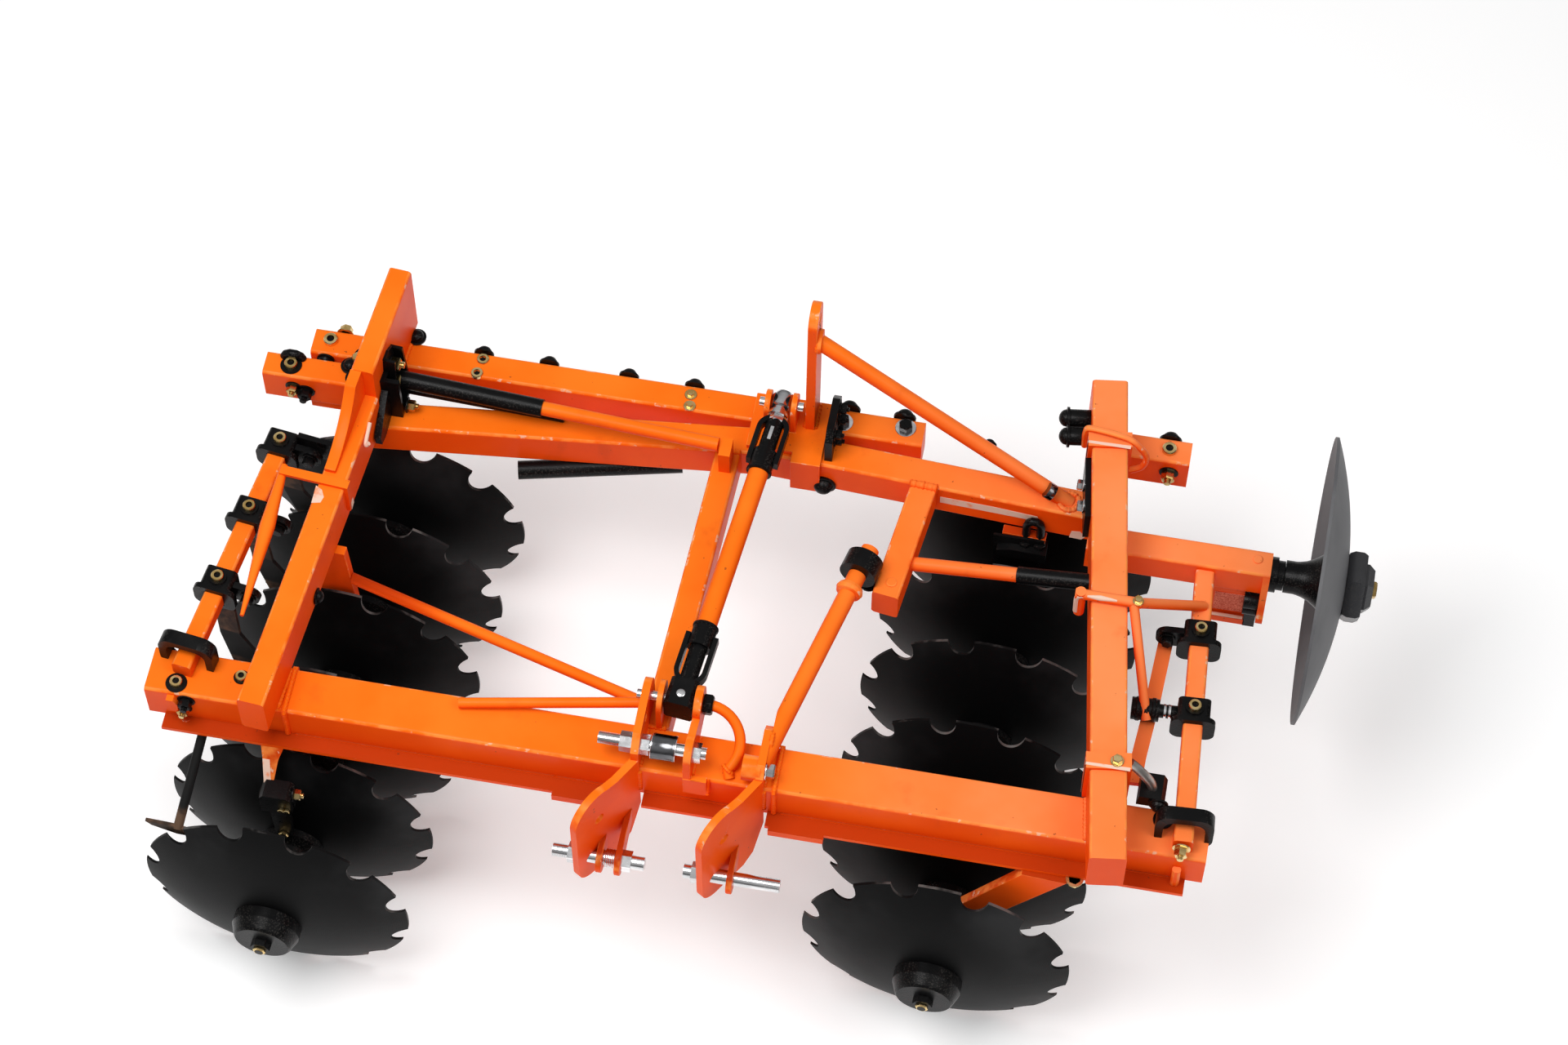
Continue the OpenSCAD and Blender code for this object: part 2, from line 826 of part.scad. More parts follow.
// Screw end: eye, barrel in a U strap and a collar where the tube starts
module link_end_shape() {
    eye_d = 46;
    eye_w = 32;
    strap_r = 34;
    strap_t = 10;
    strap_h = 22;
    strap_from = 34;
    strap_to = 150;
    lug_len = 24;
    collar_len = 48;
    barrel_d = link_d - 6;
    bow = strap_from + strap_r;
    rotate([90, 0, 0]) translate([0, 0, -eye_w / 2]) cylinder(h = eye_w, d = eye_d);
    link_rod(0, strap_from + strap_t, link_d - 14);
    link_rod(strap_from + strap_t / 2, link_end_len, barrel_d);
    link_rod(link_end_len - collar_len, link_end_len, link_d + 8);
    translate([0, 0, -strap_h / 2]) linear_extrude(strap_h) difference() {
        union() {
            translate([bow, 0]) circle(strap_r);
            translate([bow, -strap_r]) square([strap_to - bow, 2 * strap_r]);
        }
        translate([bow, 0]) circle(strap_r - strap_t);
        translate([bow, strap_t - strap_r]) square([strap_to, 2 * (strap_r - strap_t)]);
    }
    translate([strap_to - lug_len, -strap_r + strap_t / 2, -strap_h / 4])
        cube([lug_len, 2 * strap_r - strap_t, strap_h / 2]);
}

module link_ends() {
    bore_len = 3 * link_pin_d;
    color(black) placed() difference() {
        union() {
            at_link() link_end_shape();
            translate(link_end) rotate([0, 0, link_angle + 180]) link_end_shape();
        }
        for (p = [link_start, link_end])
            cross_pin(p[0] - bore_len, p[1], p[2], 2 * bore_len, link_pin_d + 2 * pin_clear);
    }
}

module link_pins() {
    lower_len = hitch_centre_x - hitch_left_x + hitch_t + 2 * link_pin_out;
    rear_len = 92;
    color(chrome) placed() {
        cross_pin(hitch_left_x - hitch_t / 2 - link_pin_out, link_pin_y, link_pin_z, lower_len, link_pin_d);
        cross_pin(link_end[0] - rear_len / 2, link_end[1], link_end[2], rear_len, link_pin_d);
    }
}

// Arm, collar and stay between the hitch and the middle beam

module inner_arm() {
    color(orange) placed() difference() {
        inner_arm_solid();
        translate([0, -pin_clear, 0]) behind_middle(right_half_angle);
    }
}

module stay_collar() {
    collar_len = 44;
    collar_d = stay_d + 40;
    centre = stay_top - (collar_len + 2) * stay_axis;
    half = collar_len / 2 * stay_axis;
    color(black) placed() difference() {
        round_bar(centre - half, centre + half, collar_d);
        round_bar(stay_foot, stay_top + half, stay_d + 2 * seat_clear);
        inner_arm_solid();
    }
}

module hitch_stay() {
    face = hitch_right_x + hitch_t / 2;
    color(orange) placed() difference() {
        round_bar(stay_foot - 2 * hitch_t * stay_axis, stay_top, stay_d);
        translate([face - far, 0, 0]) cube(far);
        inner_arm_solid();
    }
}

// Gang adjusters

module adjuster_part(line, from, to, d) {
    v = line[1] - line[0];
    round_bar(line[0] + from * v, line[0] + to * v, d);
}

module adjuster_rods() {
    color(orange) placed() {
        adjuster_part(left_adjuster, left_split, 1, adjuster_d);
        difference() {
            adjuster_part(right_adjuster, 0, right_split, adjuster_d);
            inner_arm_solid();
        }
    }
}

// Black ends of the adjusters, the short rod beside the left one and the tube under the middle beam
module adjuster_ends() {
    rod_d = 22;
    rod_z = frame_top + rod_d / 2 + pin_clear;
    rod_left = channel_x + channel[0] + 0.5;
    rod = [[rod_left, 996, rod_z], [420, 984, rod_z]];
    tube_d = 40;
    tube_z = middle_foot - tube_d / 2 - pin_clear;
    tube_ends = [[330, 912, tube_z], [668, 990, tube_z]];
    color(black) placed() {
        difference() {
            adjuster_part(left_adjuster, 0, left_split, adjuster_d + 8);
            tower_solid();
        }
        difference() {
            adjuster_part(right_adjuster, right_split, 1, adjuster_d + 6);
            right_beam_solid();
        }
        round_bar(rod[0], rod[1], rod_d);
        round_bar(tube_ends[0], tube_ends[1], tube_d);
    }
}

// Rods from the second left hanger and from the near beam to the left hitch plate
module near_stays() {
    plate_face = hitch_left_x - hitch_t / 2;
    hanger_edge = 48.6;
    d = 24;
    long_ends = [[hanger_edge - d, 597, frame_top - 106], [plate_face + d, link_pin_y, frame_top + 20]];
    short_ends = [[350, near_back - d, frame_top + d / 2], [plate_face + d, near_back + 36, frame_top + 36]];
    color(orange) placed() difference() {
        union() {
            round_bar(long_ends[0], long_ends[1], d);
            round_bar(short_ends[0], short_ends[1], d - 2);
        }
        near_solid();
        translate([hanger_edge - far, 0, 0]) cube(far);
        translate([plate_face, 0, 0]) cube(far);
    }
}

// Black fittings

// Channel with a tongue on the inner side of the tower
module tower_channel() {
    x = channel_x;
    y = channel_y;
    size = channel;
    wall = 10;
    tongue_t = 14;
    difference() {
        union() {
            difference() {
                translate([x, y, frame_top + seat_clear]) cube(size);
                translate([x + 3 * wall, y + wall, frame_top + wall]) cube(size);
            }
            side_plate(x + 26, tongue_t)
                polygon([
                    [y + wall, frame_top + seat_clear], [y + wall, frame_top + 104], [y - 50, frame_top + 66],
                    [y - 84, frame_top + 40], [y - 80, frame_top + 14], [y - 50, frame_top + seat_clear]
                ]);
        }
        tower_solid();
        left_beam_solid();
        adjuster_part(left_adjuster, 0, left_split, adjuster_d + 8);
    }
}

// Eight-sided slotted plate beside the splice
module splice_bracket() {
    x = splice_right + 14;
    thick = 16;
    y = [985, 1105];
    z = [frame_top + seat_clear, frame_top + 92];
    cut = 22;
    slot = [46, 15];
    side_plate(x, thick) difference() {
        polygon([
            [y[0], z[0]], [y[1], z[0]], [y[1], z[1] - cut], [y[1] - cut, z[1]],
            [y[0] + cut, z[1]], [y[0], z[1] - cut]
        ]);
        translate([(y[0] + y[1] - slot[0]) / 2, z[1] - 2 * slot[1]]) square(slot);
        for (share = [0.28, 0.72]) translate([y[0] + share * (y[1] - y[0]), z[0] + 34]) circle(d = 14);
    }
}

// Strip with two stops on the right gang beam's inner side
module right_strip() {
    len = 140;
    thick = 12;
    h = 84;
    lift = 10;
    stops = [208, 252];
    stop_d = 38;
    stop_len = 44;
    stop_z = 66;
    at_right_beam(right_rear_y - 312) {
        x = -right_beam_w / 2 - pin_clear;
        translate([x - thick, 0, lift]) cube([thick, len, h]);
        for (y = stops) cross_pin(x - stop_len, y, stop_z, stop_len, stop_d);
    }
}

// Plate from the rear clamp of the left bar to the left gang beam
module rear_clamp_plate() {
    thick = 12;
    h = 62;
    difference() {
        at_bar(false)
            translate([band_w / 2 + pin_clear, left_clamps[2] + band_len / 2 - thick, 0])
            cube([140, thick, h]);
        left_beam_solid();
    }
}

// Roller on the middle clamp of the right bar
module clamp_roller() {
    y = right_clamps[0] + 5;
    neck = 36;
    len = 56;
    at_bar(true) {
        cross_pin(-band_w / 2 - pin_clear - neck, y, scraper_bar / 2, neck, 28);
        cross_pin(-band_w / 2 - neck - len, y, scraper_bar / 2, len, 46);
    }
}

// Two rollers behind the foot plate of the side disc's arm
module arm_rollers() {
    plate_t = 14;
    len = 30;
    d = 36;
    for (z = [frame_top - 122, frame_top - arm_h - d / 2 - pin_clear])
        cross_pin(arm_right - plate_t - len - pin_clear, arm_front - 6, z, len, d);
}

module brackets() {
    color(black) placed() {
        tower_channel();
        splice_bracket();
        right_strip();
        rear_clamp_plate();
        clamp_roller();
        arm_rollers();
    }
}

// Straps over the gang beams, and the spear that hangs from the left one
module beam_straps() {
    thick = 8;
    w = 36;
    left_y = 685;
    left_w = 20;
    left_reach = 110;
    leg = 80;
    spear_x = -105;
    spear_z = frame_top + left_beam_h - 6;
    spear = [left_y + 26, left_y - 120, left_y - 332];
    color(orange) placed() {
        for (y = [near_back + 22, right_rear_y - 147])
            at_right_beam(y) difference() {
                translate([-right_beam_w / 2 - thick, -w / 2, 0])
                    cube([right_beam_w + 2 * thick, w, right_beam_h + thick]);
                translate([-right_beam_w / 2 - pin_clear, -w, -1])
                    cube([right_beam_w + 2 * pin_clear, 2 * w, right_beam_h + 1 + pin_clear]);
            }
        at_left_beam(left_y) {
            translate([-left_reach, -left_w / 2, left_beam_h + pin_clear])
                cube([left_reach + left_beam_w / 2 + thick, left_w, thick]);
            translate([left_beam_w / 2 + pin_clear, -left_w / 2, left_beam_h - leg])
                cube([thick - pin_clear, left_w, leg + thick]);
        }
        translate([spear_x, spear[0], spear_z]) rotate([90, 0, 0]) cylinder(h = spear[0] - spear[1], d1 = 16, d2 = 32);
        translate([spear_x, spear[1], spear_z]) rotate([90, 0, 0]) cylinder(h = spear[1] - spear[2], d1 = 32, d2 = 8);
    }
}

// Rod over the right gang beam to the scraper bar, its branch to the roller, and a flat tine
module scraper_rail() {
    d = 22;
    y = 690;
    z = frame_top + right_beam_h + d / 2 + pin_clear;
    left = right_line_x(y) - right_beam_w / 2 - d;
    right = right_line_x(y) + right_beam_w / 2 + d;
    hook = 70;
    branch_d = 20;
    tine_w = 30;
    tine_t = 12;
    tine = [[-66, right_clamps[1] + 7], [-82, 351], [-100, 218], [-106, 150]];
    tine_top = scraper_bar / 2 - lug_r - pin_clear;
    bar_spot = [right_bar_rear[0] + 8, y + 96, frame_top - 8];
    roller_spot = [right_bar_front[0] - 108, right_bar_front[1] + 282, frame_top - 6];
    color(orange) placed() {
        difference() {
            union() {
                round_bar([left, y, z - hook], [left, y, z + d / 2], d);
                round_bar([left - d / 2, y, z], [right + d / 4, y, z], d);
                round_bar([right, y, z], bar_spot, d);
                round_bar([right - d / 2, y, z], roller_spot, branch_d);
            }
            at_bar(true) bar_solid(true);
            clamp_roller();
            right_beam_solid();
        }
        at_bar(true) translate([0, 0, tine_top - tine_t]) linear_extrude(tine_t) polygon([
            for (p = tine) p - [tine_w / 2, 0],
            for (i = [len(tine) - 1:-1:0]) tine[i] + [tine_w / 2, 0]
        ]);
    }
}

// Scraper bars, clamps and blades

// Frame of a scraper bar: Y along it from its front end, Z up from its foot
module at_bar(right) {
    p = right ? right_bar_front : left_bar_front;
    v = (right ? right_bar_rear : left_bar_rear) - p;
    translate(p)
        rotate([0, 0, atan2(v[1], v[0]) - 90])
        rotate([asin(v[2] / norm(v)), 0, 0])
        children();
}

module bar_solid(right) {
    len = right ? norm(right_bar_rear - right_bar_front) : norm(left_bar_rear - left_bar_front);
    cross_plate(len / 2, len) translate([-scraper_bar / 2, 0]) rounded_rect(scraper_bar, scraper_bar, tube_r);
}

module left_scraper_bar() {
    color(orange) placed() at_bar(false) bar_solid(false);
}

module right_scraper_bar() {
    color(orange) placed() difference() {
        at_bar(true) bar_solid(true);
        near_box();
        translate([0, arm_front, 0]) cube(far);
    }
}

module bar_ring(w, h, r) {
    difference() {
        translate([-w / 2, (scraper_bar - h) / 2]) rounded_rect(w, h, r);
        translate([-scraper_bar / 2, 0]) square(scraper_bar);
    }
}

// Clamp round a scraper bar at y: band, larger lip in front, lug to one side, pad on top
module clamp(y, side, lug_len) {
    lip = 24;
    lip_t = 12;
    lug_t = 14;
    lug_hole = 16;
    pad_d = 36;
    pad_h = 5;
    cross_plate(y, band_len) bar_ring(band_w, band_h, 10);
    cross_plate(y - band_len / 2, lip_t) bar_ring(band_w + lip, band_h, 20);
    if (lug_len > 0) cross_plate(y, lug_t) difference() {
        union() {
            translate([side > 0 ? band_w / 2 - 2 : 2 - band_w / 2 - lug_len, scraper_bar / 2 - lug_r])
                square([lug_len, 2 * lug_r]);
            translate([side * (band_w / 2 + lug_len - 2), scraper_bar / 2]) circle(lug_r);
        }
        translate([side * (band_w / 2 + lug_len - 2), scraper_bar / 2]) circle(d = lug_hole);
    }
    translate([0, y, scraper_bar + band_t - 1]) cylinder(h = pad_h + 1, d = pad_d);
}

// Arch over a scraper bar's front end, standing on the near beam
module bar_arch() {
    w = 116;
    h = 78;
    wall = 16;
    sink = 20;
    difference() {
        translate([-w / 2, -sink]) rounded_rect(w, h + sink, 30);
        translate([-w / 2 + wall, -sink - 1]) rounded_rect(w - 2 * wall, h + sink - wall, 24);
        translate([-w, -2 * sink]) square([2 * w, sink]);
    }
}

module scraper_clamps() {
    arch_t = 30;
    lug_len = 34;
    color(black) placed() {
        difference() {
            union() {
                for (right = [false, true]) at_bar(right) cross_plate(arch_at, arch_t) bar_arch();
            }
            near_box();
        }
        at_bar(false) for (y = left_clamps) clamp(y, 1, lug_len);
        at_bar(true) {
            clamp(right_clamps[0], -1, 0);
            clamp(right_clamps[1], -1, lug_len);
        }
    }
}

// Blade under a clamp of the left bar, leaning forward to the disc in front of it
module scraper(y, lean) {
    difference() {
        translate([0, y, -band_t])
            rotate([-lean, 0, 0])
            cross_plate(0, blade_t)
            polygon([
                [-22, 12], [22, 12], [34, -120], [34 + blade_w, -190], [38 + blade_w, -250],
                [14 + blade_w, -272], [20, -240], [-10, -130]
            ]);
        translate([-band_w, y - band_w, -band_t]) cube([2 * band_w, 2 * band_w, band_h]);
    }
}

// Horn behind the first left disc, on a block under the near beam
module front_scraper() {
    block = [58, 46, 24];
    block_at = [-200, near_front + 6, near_foot - block[2] - pin_clear];
    horn_y = 26;
    arm_d = 20;
    translate(block_at) cube(block);
    round_bar(block_at + [30, 20, 12], [-196, horn_y - 3, frame_top - 238], arm_d);
    cross_plate(horn_y, blade_t)
        polygon([
            [-262, frame_top - 222], [-206, frame_top - 226], [-160, frame_top - 240],
            [-144, frame_top - 262], [-200, frame_top - 258], [-250, frame_top - 236]
        ]);
}

module scrapers() {
    leans = [8, 3.5, 0.5];
    color(steel) placed() {
        at_bar(false) for (i = [0:2]) scraper(left_clamps[i], leans[i]);
        front_scraper();
    }
}

// Gang hangers and bearing housings

module hangers() {
    thick = 20;
    foot_w = 92;
    color(orange) placed()
        for (spot = bearing_spots) at_gang(spot[0]) {
            top = spot[3] - axle_z;
            waist = spot[4];
            difference() {
                cross_plate(spot[1], thick)
                    polygon([
                        [-waist / 2, 0], [waist / 2, 0],
                        [spot[2] + foot_w / 2, top], [spot[2] - foot_w / 2, top]
                    ]);
                along_gang(spot[1] - thick, 2 * thick, 2 * housing_r);
            }
        }
}

// Split housings with a flange on each side
module bearings() {
    lug_w = 2 * housing_r + 52;
    lug_h = 30;
    lug_len = 40;
    color(black) placed()
        for (spot = bearing_spots) at_gang(spot[0])
            difference() {
                union() {
                    along_gang(spot[1] - housing_len / 2, housing_len, 2 * housing_r);
                    cross_plate(spot[1], lug_len)
                        translate([-lug_w / 2, -lug_h / 2]) rounded_rect(lug_w, lug_h, tube_r);
                }
                along_gang(spot[1] - housing_len, 2 * housing_len, 2 * (spool_r + run_clear));
            }
}

// Gangs

module square_hole(side, from, to) {
    translate([-side / 2, from, -side / 2]) cube([side, to - from, side]);
}

// Revolved about the gang's axle, profile's Y along the axle from y
module revolved(y) {
    translate([0, y, 0]) rotate([-90, 0, 0]) rotate_extrude($fn = 96) children();
}

// Full circle of a dish's curve, the apex on the profile's origin
module dish_circle(ball_r, gap) {
    translate([0, ball_r]) circle(ball_r - gap, $fn = 360);
}

module dish_profile(ball_r, dish, t, inner_r, outer_r) {
    intersection() {
        difference() {
            dish_circle(ball_r, 0);
            dish_circle(ball_r, t);
        }
        translate([inner_r, -t]) square([outer_r - inner_r, dish + 3 * t]);
    }
}

module gang_disc(k) {
    tooth_turn = 180 / notch_count;
    difference() {
        revolved(hub_y(k)) dish_profile(dish_r, disc_dish, disc_t, axle_side / 2, disc_r);
        for (i = [0:notch_count - 1])
            rotate([0, tooth_turn + i * 360 / notch_count, 0])
                translate([0, 0, -disc_r]) along_gang(hub_y(k), disc_dish + 2 * disc_t, 2 * notch_r);
        square_hole(axle_side + 2 * seat_clear, hub_y(k) - disc_t, hub_y(k) + 2 * disc_t);
    }
}

module gang_discs(right) {
    color(steel) placed() at_gang(right)
        for (k = [0:disc_count - 1]) gang_disc(k);
}

module left_discs() {
    gang_discs(false);
}

module right_discs() {
    gang_discs(true);
}

// Half section of a spool between two dished plates
module spool_profile() {
    bore = axle_side / 2;
    len = disc_pitch + flange_t;
    near_flange = disc_t + flange_t + 6;
    difference() {
        intersection() {
            polygon([
                [bore, 0], [flange_r, 0], [flange_r, near_flange], [spool_r, near_flange + flange_t],
                [spool_r, disc_pitch - 2 * flange_t], [flange_r, disc_pitch - flange_t], [flange_r, len], [bore, len]
            ]);
            dish_circle(dish_r, disc_t + seat_clear);
        }
        translate([0, disc_pitch]) dish_circle(dish_r, -seat_clear);
    }
}

// Half section of the bell in front of the first disc
module bell_profile() {
    bore = axle_side / 2;
    difference() {
        polygon([
            [bore, 0], [0.8 * bell_r, 0], [0.86 * bell_r, 0.1 * bell_len], [bell_r, 0.6 * bell_len],
            [bell_r, bell_len + flange_t], [bore, bell_len + flange_t]
        ]);
        translate([0, bell_len]) dish_circle(dish_r, -seat_clear);
    }
}

module washer_profile() {
    bore = axle_side / 2;
    intersection() {
        translate([bore, 0]) square([flange_r - bore, disc_t + washer_len]);
        dish_circle(dish_r, disc_t + seat_clear);
    }
}

module gang_spools(right) {
    last = disc_count - 1;
    color(black) placed() at_gang(right) difference() {
        union() {
            for (k = [0:last - 1]) revolved(hub_y(k)) spool_profile();
            revolved(hub_y(0) - bell_len) bell_profile();
            revolved(hub_y(last)) washer_profile();
        }
        square_hole(axle_side + 2 * seat_clear, hub_y(0) - 2 * bell_len, hub_y(last) + 2 * bell_len);
    }
}

module left_spools() {
    gang_spools(false);
}

module right_spools() {
    gang_spools(true);
}

module gang_axle(right) {
    last = disc_count - 1;
    front = hub_y(0) - bell_len;
    rear = hub_y(last) + disc_t + washer_len;
    color(zinc) placed() at_gang(right) {
        square_hole(axle_side, front - pin_clear, rear + pin_clear);
        along_gang(front - nut_len, nut_len, nut_d, $fn = 6);
        along_gang(front - nut_len - tip_len, tip_len + nut_len, tip_d);
        along_gang(rear, nut_len, nut_d, $fn = 6);
        along_gang(rear, nut_len + tip_len, tip_d);
    }
}

module left_axle() {
    gang_axle(false);
}

module right_axle() {
    gang_axle(true);
}

// Side disc

module side_axle() {
    shoulder_len = 14;
    shoulder_d = 74;
    color(black) placed() {
        cross_pin(arm_right - side_axle_root, arm_y, side_axle_z, side_axle_root + side_axle_out, side_axle_d);
        cross_pin(arm_right, arm_y, side_axle_z, shoulder_len, shoulder_d);
    }
}

// Revolved about the side axle, profile's Y towards the arm from the dish's apex
module side_revolved() {
    translate([side_apex_x, arm_y, side_axle_z])
        rotate([0, -90, 0]) rotate_extrude($fn = 96) children();
}

module side_disc() {
    color(steel) placed() side_revolved()
        dish_profile(side_dish_r, side_dish, side_t, side_axle_d / 2 + 5, side_d / 2);
}

// Hub on both sides of the side disc: cap and tip outside, bored sleeve inside
module side_hub() {
    neck_r = side_axle_d / 2 + 5 - seat_clear;
    sleeve_r = side_axle_d / 2 + 14;
    sleeve_end = side_apex_x - arm_right - 30;
    bore_end = side_apex_x - arm_right - side_axle_out - run_clear;
    cap = 34;
    flange = 40;
    tip = side_tip_x - side_apex_x;
    color(black) placed() side_revolved() difference() {
        union() {
            difference() {
                translate([0, -cap]) square([side_hub_r, cap + flange_t]);
                dish_circle(side_dish_r, -seat_clear);
            }
            intersection() {
                translate([0, -1]) square([side_hub_r, flange + 1]);
                dish_circle(side_dish_r, side_t + seat_clear);
            }
            translate([0, -cap]) square([neck_r, cap + flange]);
            translate([0, flange / 2]) square([sleeve_r, sleeve_end - flange / 2]);
            translate([0, -tip]) square([tip_d / 2, tip]);
        }
        translate([0, bore_end]) square([side_axle_d / 2 + run_clear, sleeve_end]);
    }
}

near_beam();
left_beam();
left_tower();
left_gusset();
right_beam();
middle_beam_left();
middle_beam_right();
left_stub();
disc_arm();
rear_beam();
rear_stub();
centre_tube();
splice_plate();
mast_plate();
mast_brace();
hitch_left();
hitch_centre();
hitch_right();
hitch_ears();
lower_pin_left();
lower_pin_right();
top_pin();
link_tube();
link_ends();
link_pins();
inner_arm();
stay_collar();
hitch_stay();
adjuster_rods();
adjuster_ends();
near_stays();
brackets();
beam_straps();
scraper_rail();
left_scraper_bar();
right_scraper_bar();
scraper_clamps();
scrapers();
hangers();
bearings();
side_axle();
left_axle();
left_discs();
left_spools();
right_axle();
right_discs();
right_spools();
side_hub();
side_disc();
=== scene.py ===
"""Mounted disc harrow: paint, fasteners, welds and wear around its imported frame."""

import json
import math
import random

import bmesh
import bpy
from mathutils import Matrix, Vector


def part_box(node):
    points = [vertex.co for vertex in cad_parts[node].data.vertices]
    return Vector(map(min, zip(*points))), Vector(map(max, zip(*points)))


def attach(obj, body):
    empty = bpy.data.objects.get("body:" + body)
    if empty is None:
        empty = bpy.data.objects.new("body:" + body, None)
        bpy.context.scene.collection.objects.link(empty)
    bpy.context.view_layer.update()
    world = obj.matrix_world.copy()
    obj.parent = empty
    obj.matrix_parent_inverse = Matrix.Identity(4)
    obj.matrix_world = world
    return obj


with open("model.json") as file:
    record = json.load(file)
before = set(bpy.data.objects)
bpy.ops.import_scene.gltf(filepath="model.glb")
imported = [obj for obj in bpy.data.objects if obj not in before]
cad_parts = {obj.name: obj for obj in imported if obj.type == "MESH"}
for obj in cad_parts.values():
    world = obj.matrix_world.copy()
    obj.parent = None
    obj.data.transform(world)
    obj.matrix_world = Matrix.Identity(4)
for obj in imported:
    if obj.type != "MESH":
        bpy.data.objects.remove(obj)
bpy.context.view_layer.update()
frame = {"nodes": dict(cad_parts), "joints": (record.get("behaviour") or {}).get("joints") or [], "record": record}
nodes = frame["nodes"]
joints = {joint["name"]: joint for joint in frame["joints"]}
draw = random.Random(7)
MM = 0.001
UP, DOWN = Vector((0, 0, 1)), Vector((0, 0, -1))
LEFT, RIGHT = Vector((-1, 0, 0)), Vector((1, 0, 0))
FRONT, BACK = Vector((0, -1, 0)), Vector((0, 1, 0))

# The setting-out point lies on the floor under the rim centre of the front left disc
left_rim = Vector(joints["left_gang_spin"]["pos_m"])
setting_out = Vector((left_rim.x, left_rim.y, 0))


def at(place):
    """A place given in millimetres from the setting-out point, in metres."""
    return setting_out + Vector(place) * MM


def reach(node):
    """A node's lowest and highest corner, in millimetres from the setting-out point."""
    return [(Vector(corner) - setting_out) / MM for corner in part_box(node)]


# Shader expressions


class Value:
    """A shader socket in an expression: each operator adds a Math node."""

    def __init__(self, finish, socket):
        self.finish = finish
        self.socket = socket

    def math(self, operation, first, second):
        return self.finish.node("ShaderNodeMath", {"operation": operation}, {0: first, 1: second})

    def __add__(self, other):
        return self.math("ADD", self, other)

    def __radd__(self, other):
        return self.math("ADD", other, self)

    def __sub__(self, other):
        return self.math("SUBTRACT", self, other)

    def __rsub__(self, other):
        return self.math("SUBTRACT", other, self)

    def __mul__(self, other):
        return self.math("MULTIPLY", self, other)

    def __rmul__(self, other):
        return self.math("MULTIPLY", other, self)

    def __abs__(self):
        return self.math("ABSOLUTE", self, 0)

    def most(self, other):
        return self.math("MAXIMUM", self, other)

    def step(self, low, high):
        """Rises smoothly from 0 at low to 1 at high."""
        return self.finish.node(
            "ShaderNodeMapRange",
            {"interpolation_type": "SMOOTHSTEP"},
            {"Value": self, "From Min": low, "From Max": high},
        )


class Finish:
    """One procedural material, written as expressions on its shader's sockets."""

    def __init__(self, name, **constants):
        self.material = bpy.data.materials.new(name)
        self.material.use_nodes = True
        self.tree = self.material.node_tree
        self.shader = self.tree.nodes["Principled BSDF"]
        for socket, value in constants.items():
            self.shader.inputs[socket.replace("_", " ")].default_value = value

    def feed(self, socket, value):
        if isinstance(value, Value):
            self.tree.links.new(value.socket, socket)
        elif socket.type == "RGBA":
            socket.default_value = (*value, 1)
        else:
            socket.default_value = value

    def node(self, kind, settings=None, sockets=None, out=0):
        made = self.tree.nodes.new(kind)
        for key, value in (settings or {}).items():
            setattr(made, key, value)
        for key, value in (sockets or {}).items():
            self.feed(made.inputs[key], value)
        return Value(self, made.outputs[out])

    def set(self, **sockets):
        for socket, value in sockets.items():
            self.feed(self.shader.inputs[socket.replace("_", " ")], value)

    def place(self):
        return self.node("ShaderNodeTexCoord", out="Object")

    def noise(self, scale, detail=3, stretch=(1, 1, 1)):
        place = self.node("ShaderNodeMapping", {}, {"Vector": self.place(), "Scale": stretch})
        sockets = {"Vector": place, "Scale": scale, "Detail": detail, "Roughness": 0.55}
        return self.node("ShaderNodeTexNoise", {}, sockets)

    def vector(self, operation, first, second, out=0):
        return self.node("ShaderNodeVectorMath", {"operation": operation}, {0: first, 1: second}, out)

    def parts(self, vector):
        split = self.node("ShaderNodeSeparateXYZ", {}, {0: vector})
        return [Value(self, socket) for socket in split.socket.node.outputs]

    def normal(self):
        return self.node("ShaderNodeNewGeometry", out="Normal")

    def edge(self, turn=0):
        """1 where the surface rounds from face to face, 0 on faces that are square or turned this far."""
        nx, ny, nz = self.parts(self.normal())
        flat = abs(nx).most(abs(ny)).most(abs(nz))
        if turn:
            c, s = math.cos(turn), math.sin(turn)
            flat = flat.most(abs(nx * c + ny * s)).most(abs(ny * c - nx * s))
        return 1 - flat.step(0.90, 0.975)

    def mix(self, factor, first, second):
        made = self.node("ShaderNodeMix", {"data_type": "RGBA"}, {"Factor": factor}).socket.node
        colours = [socket for socket in made.inputs if socket.type == "RGBA"]
        self.feed(colours[0], first)
        self.feed(colours[1], second)
        return Value(self, [socket for socket in made.outputs if socket.type == "RGBA"][0])

    def bump(self, height, depth, strength):
        sockets = {"Height": height, "Distance": depth, "Strength": strength}
        self.set(Normal=self.node("ShaderNodeBump", {}, sockets))


# Finishes


# Up-facing surfaces go from painted shade to painted light between these heights, and take more and more of a
# paler painted sheen from the middle of the frame to its right side
TOP_LIGHT_LOW, TOP_LIGHT_HIGH = 0.615, 0.66
SHEEN_FROM, SHEEN_TO = 0.0, 0.6


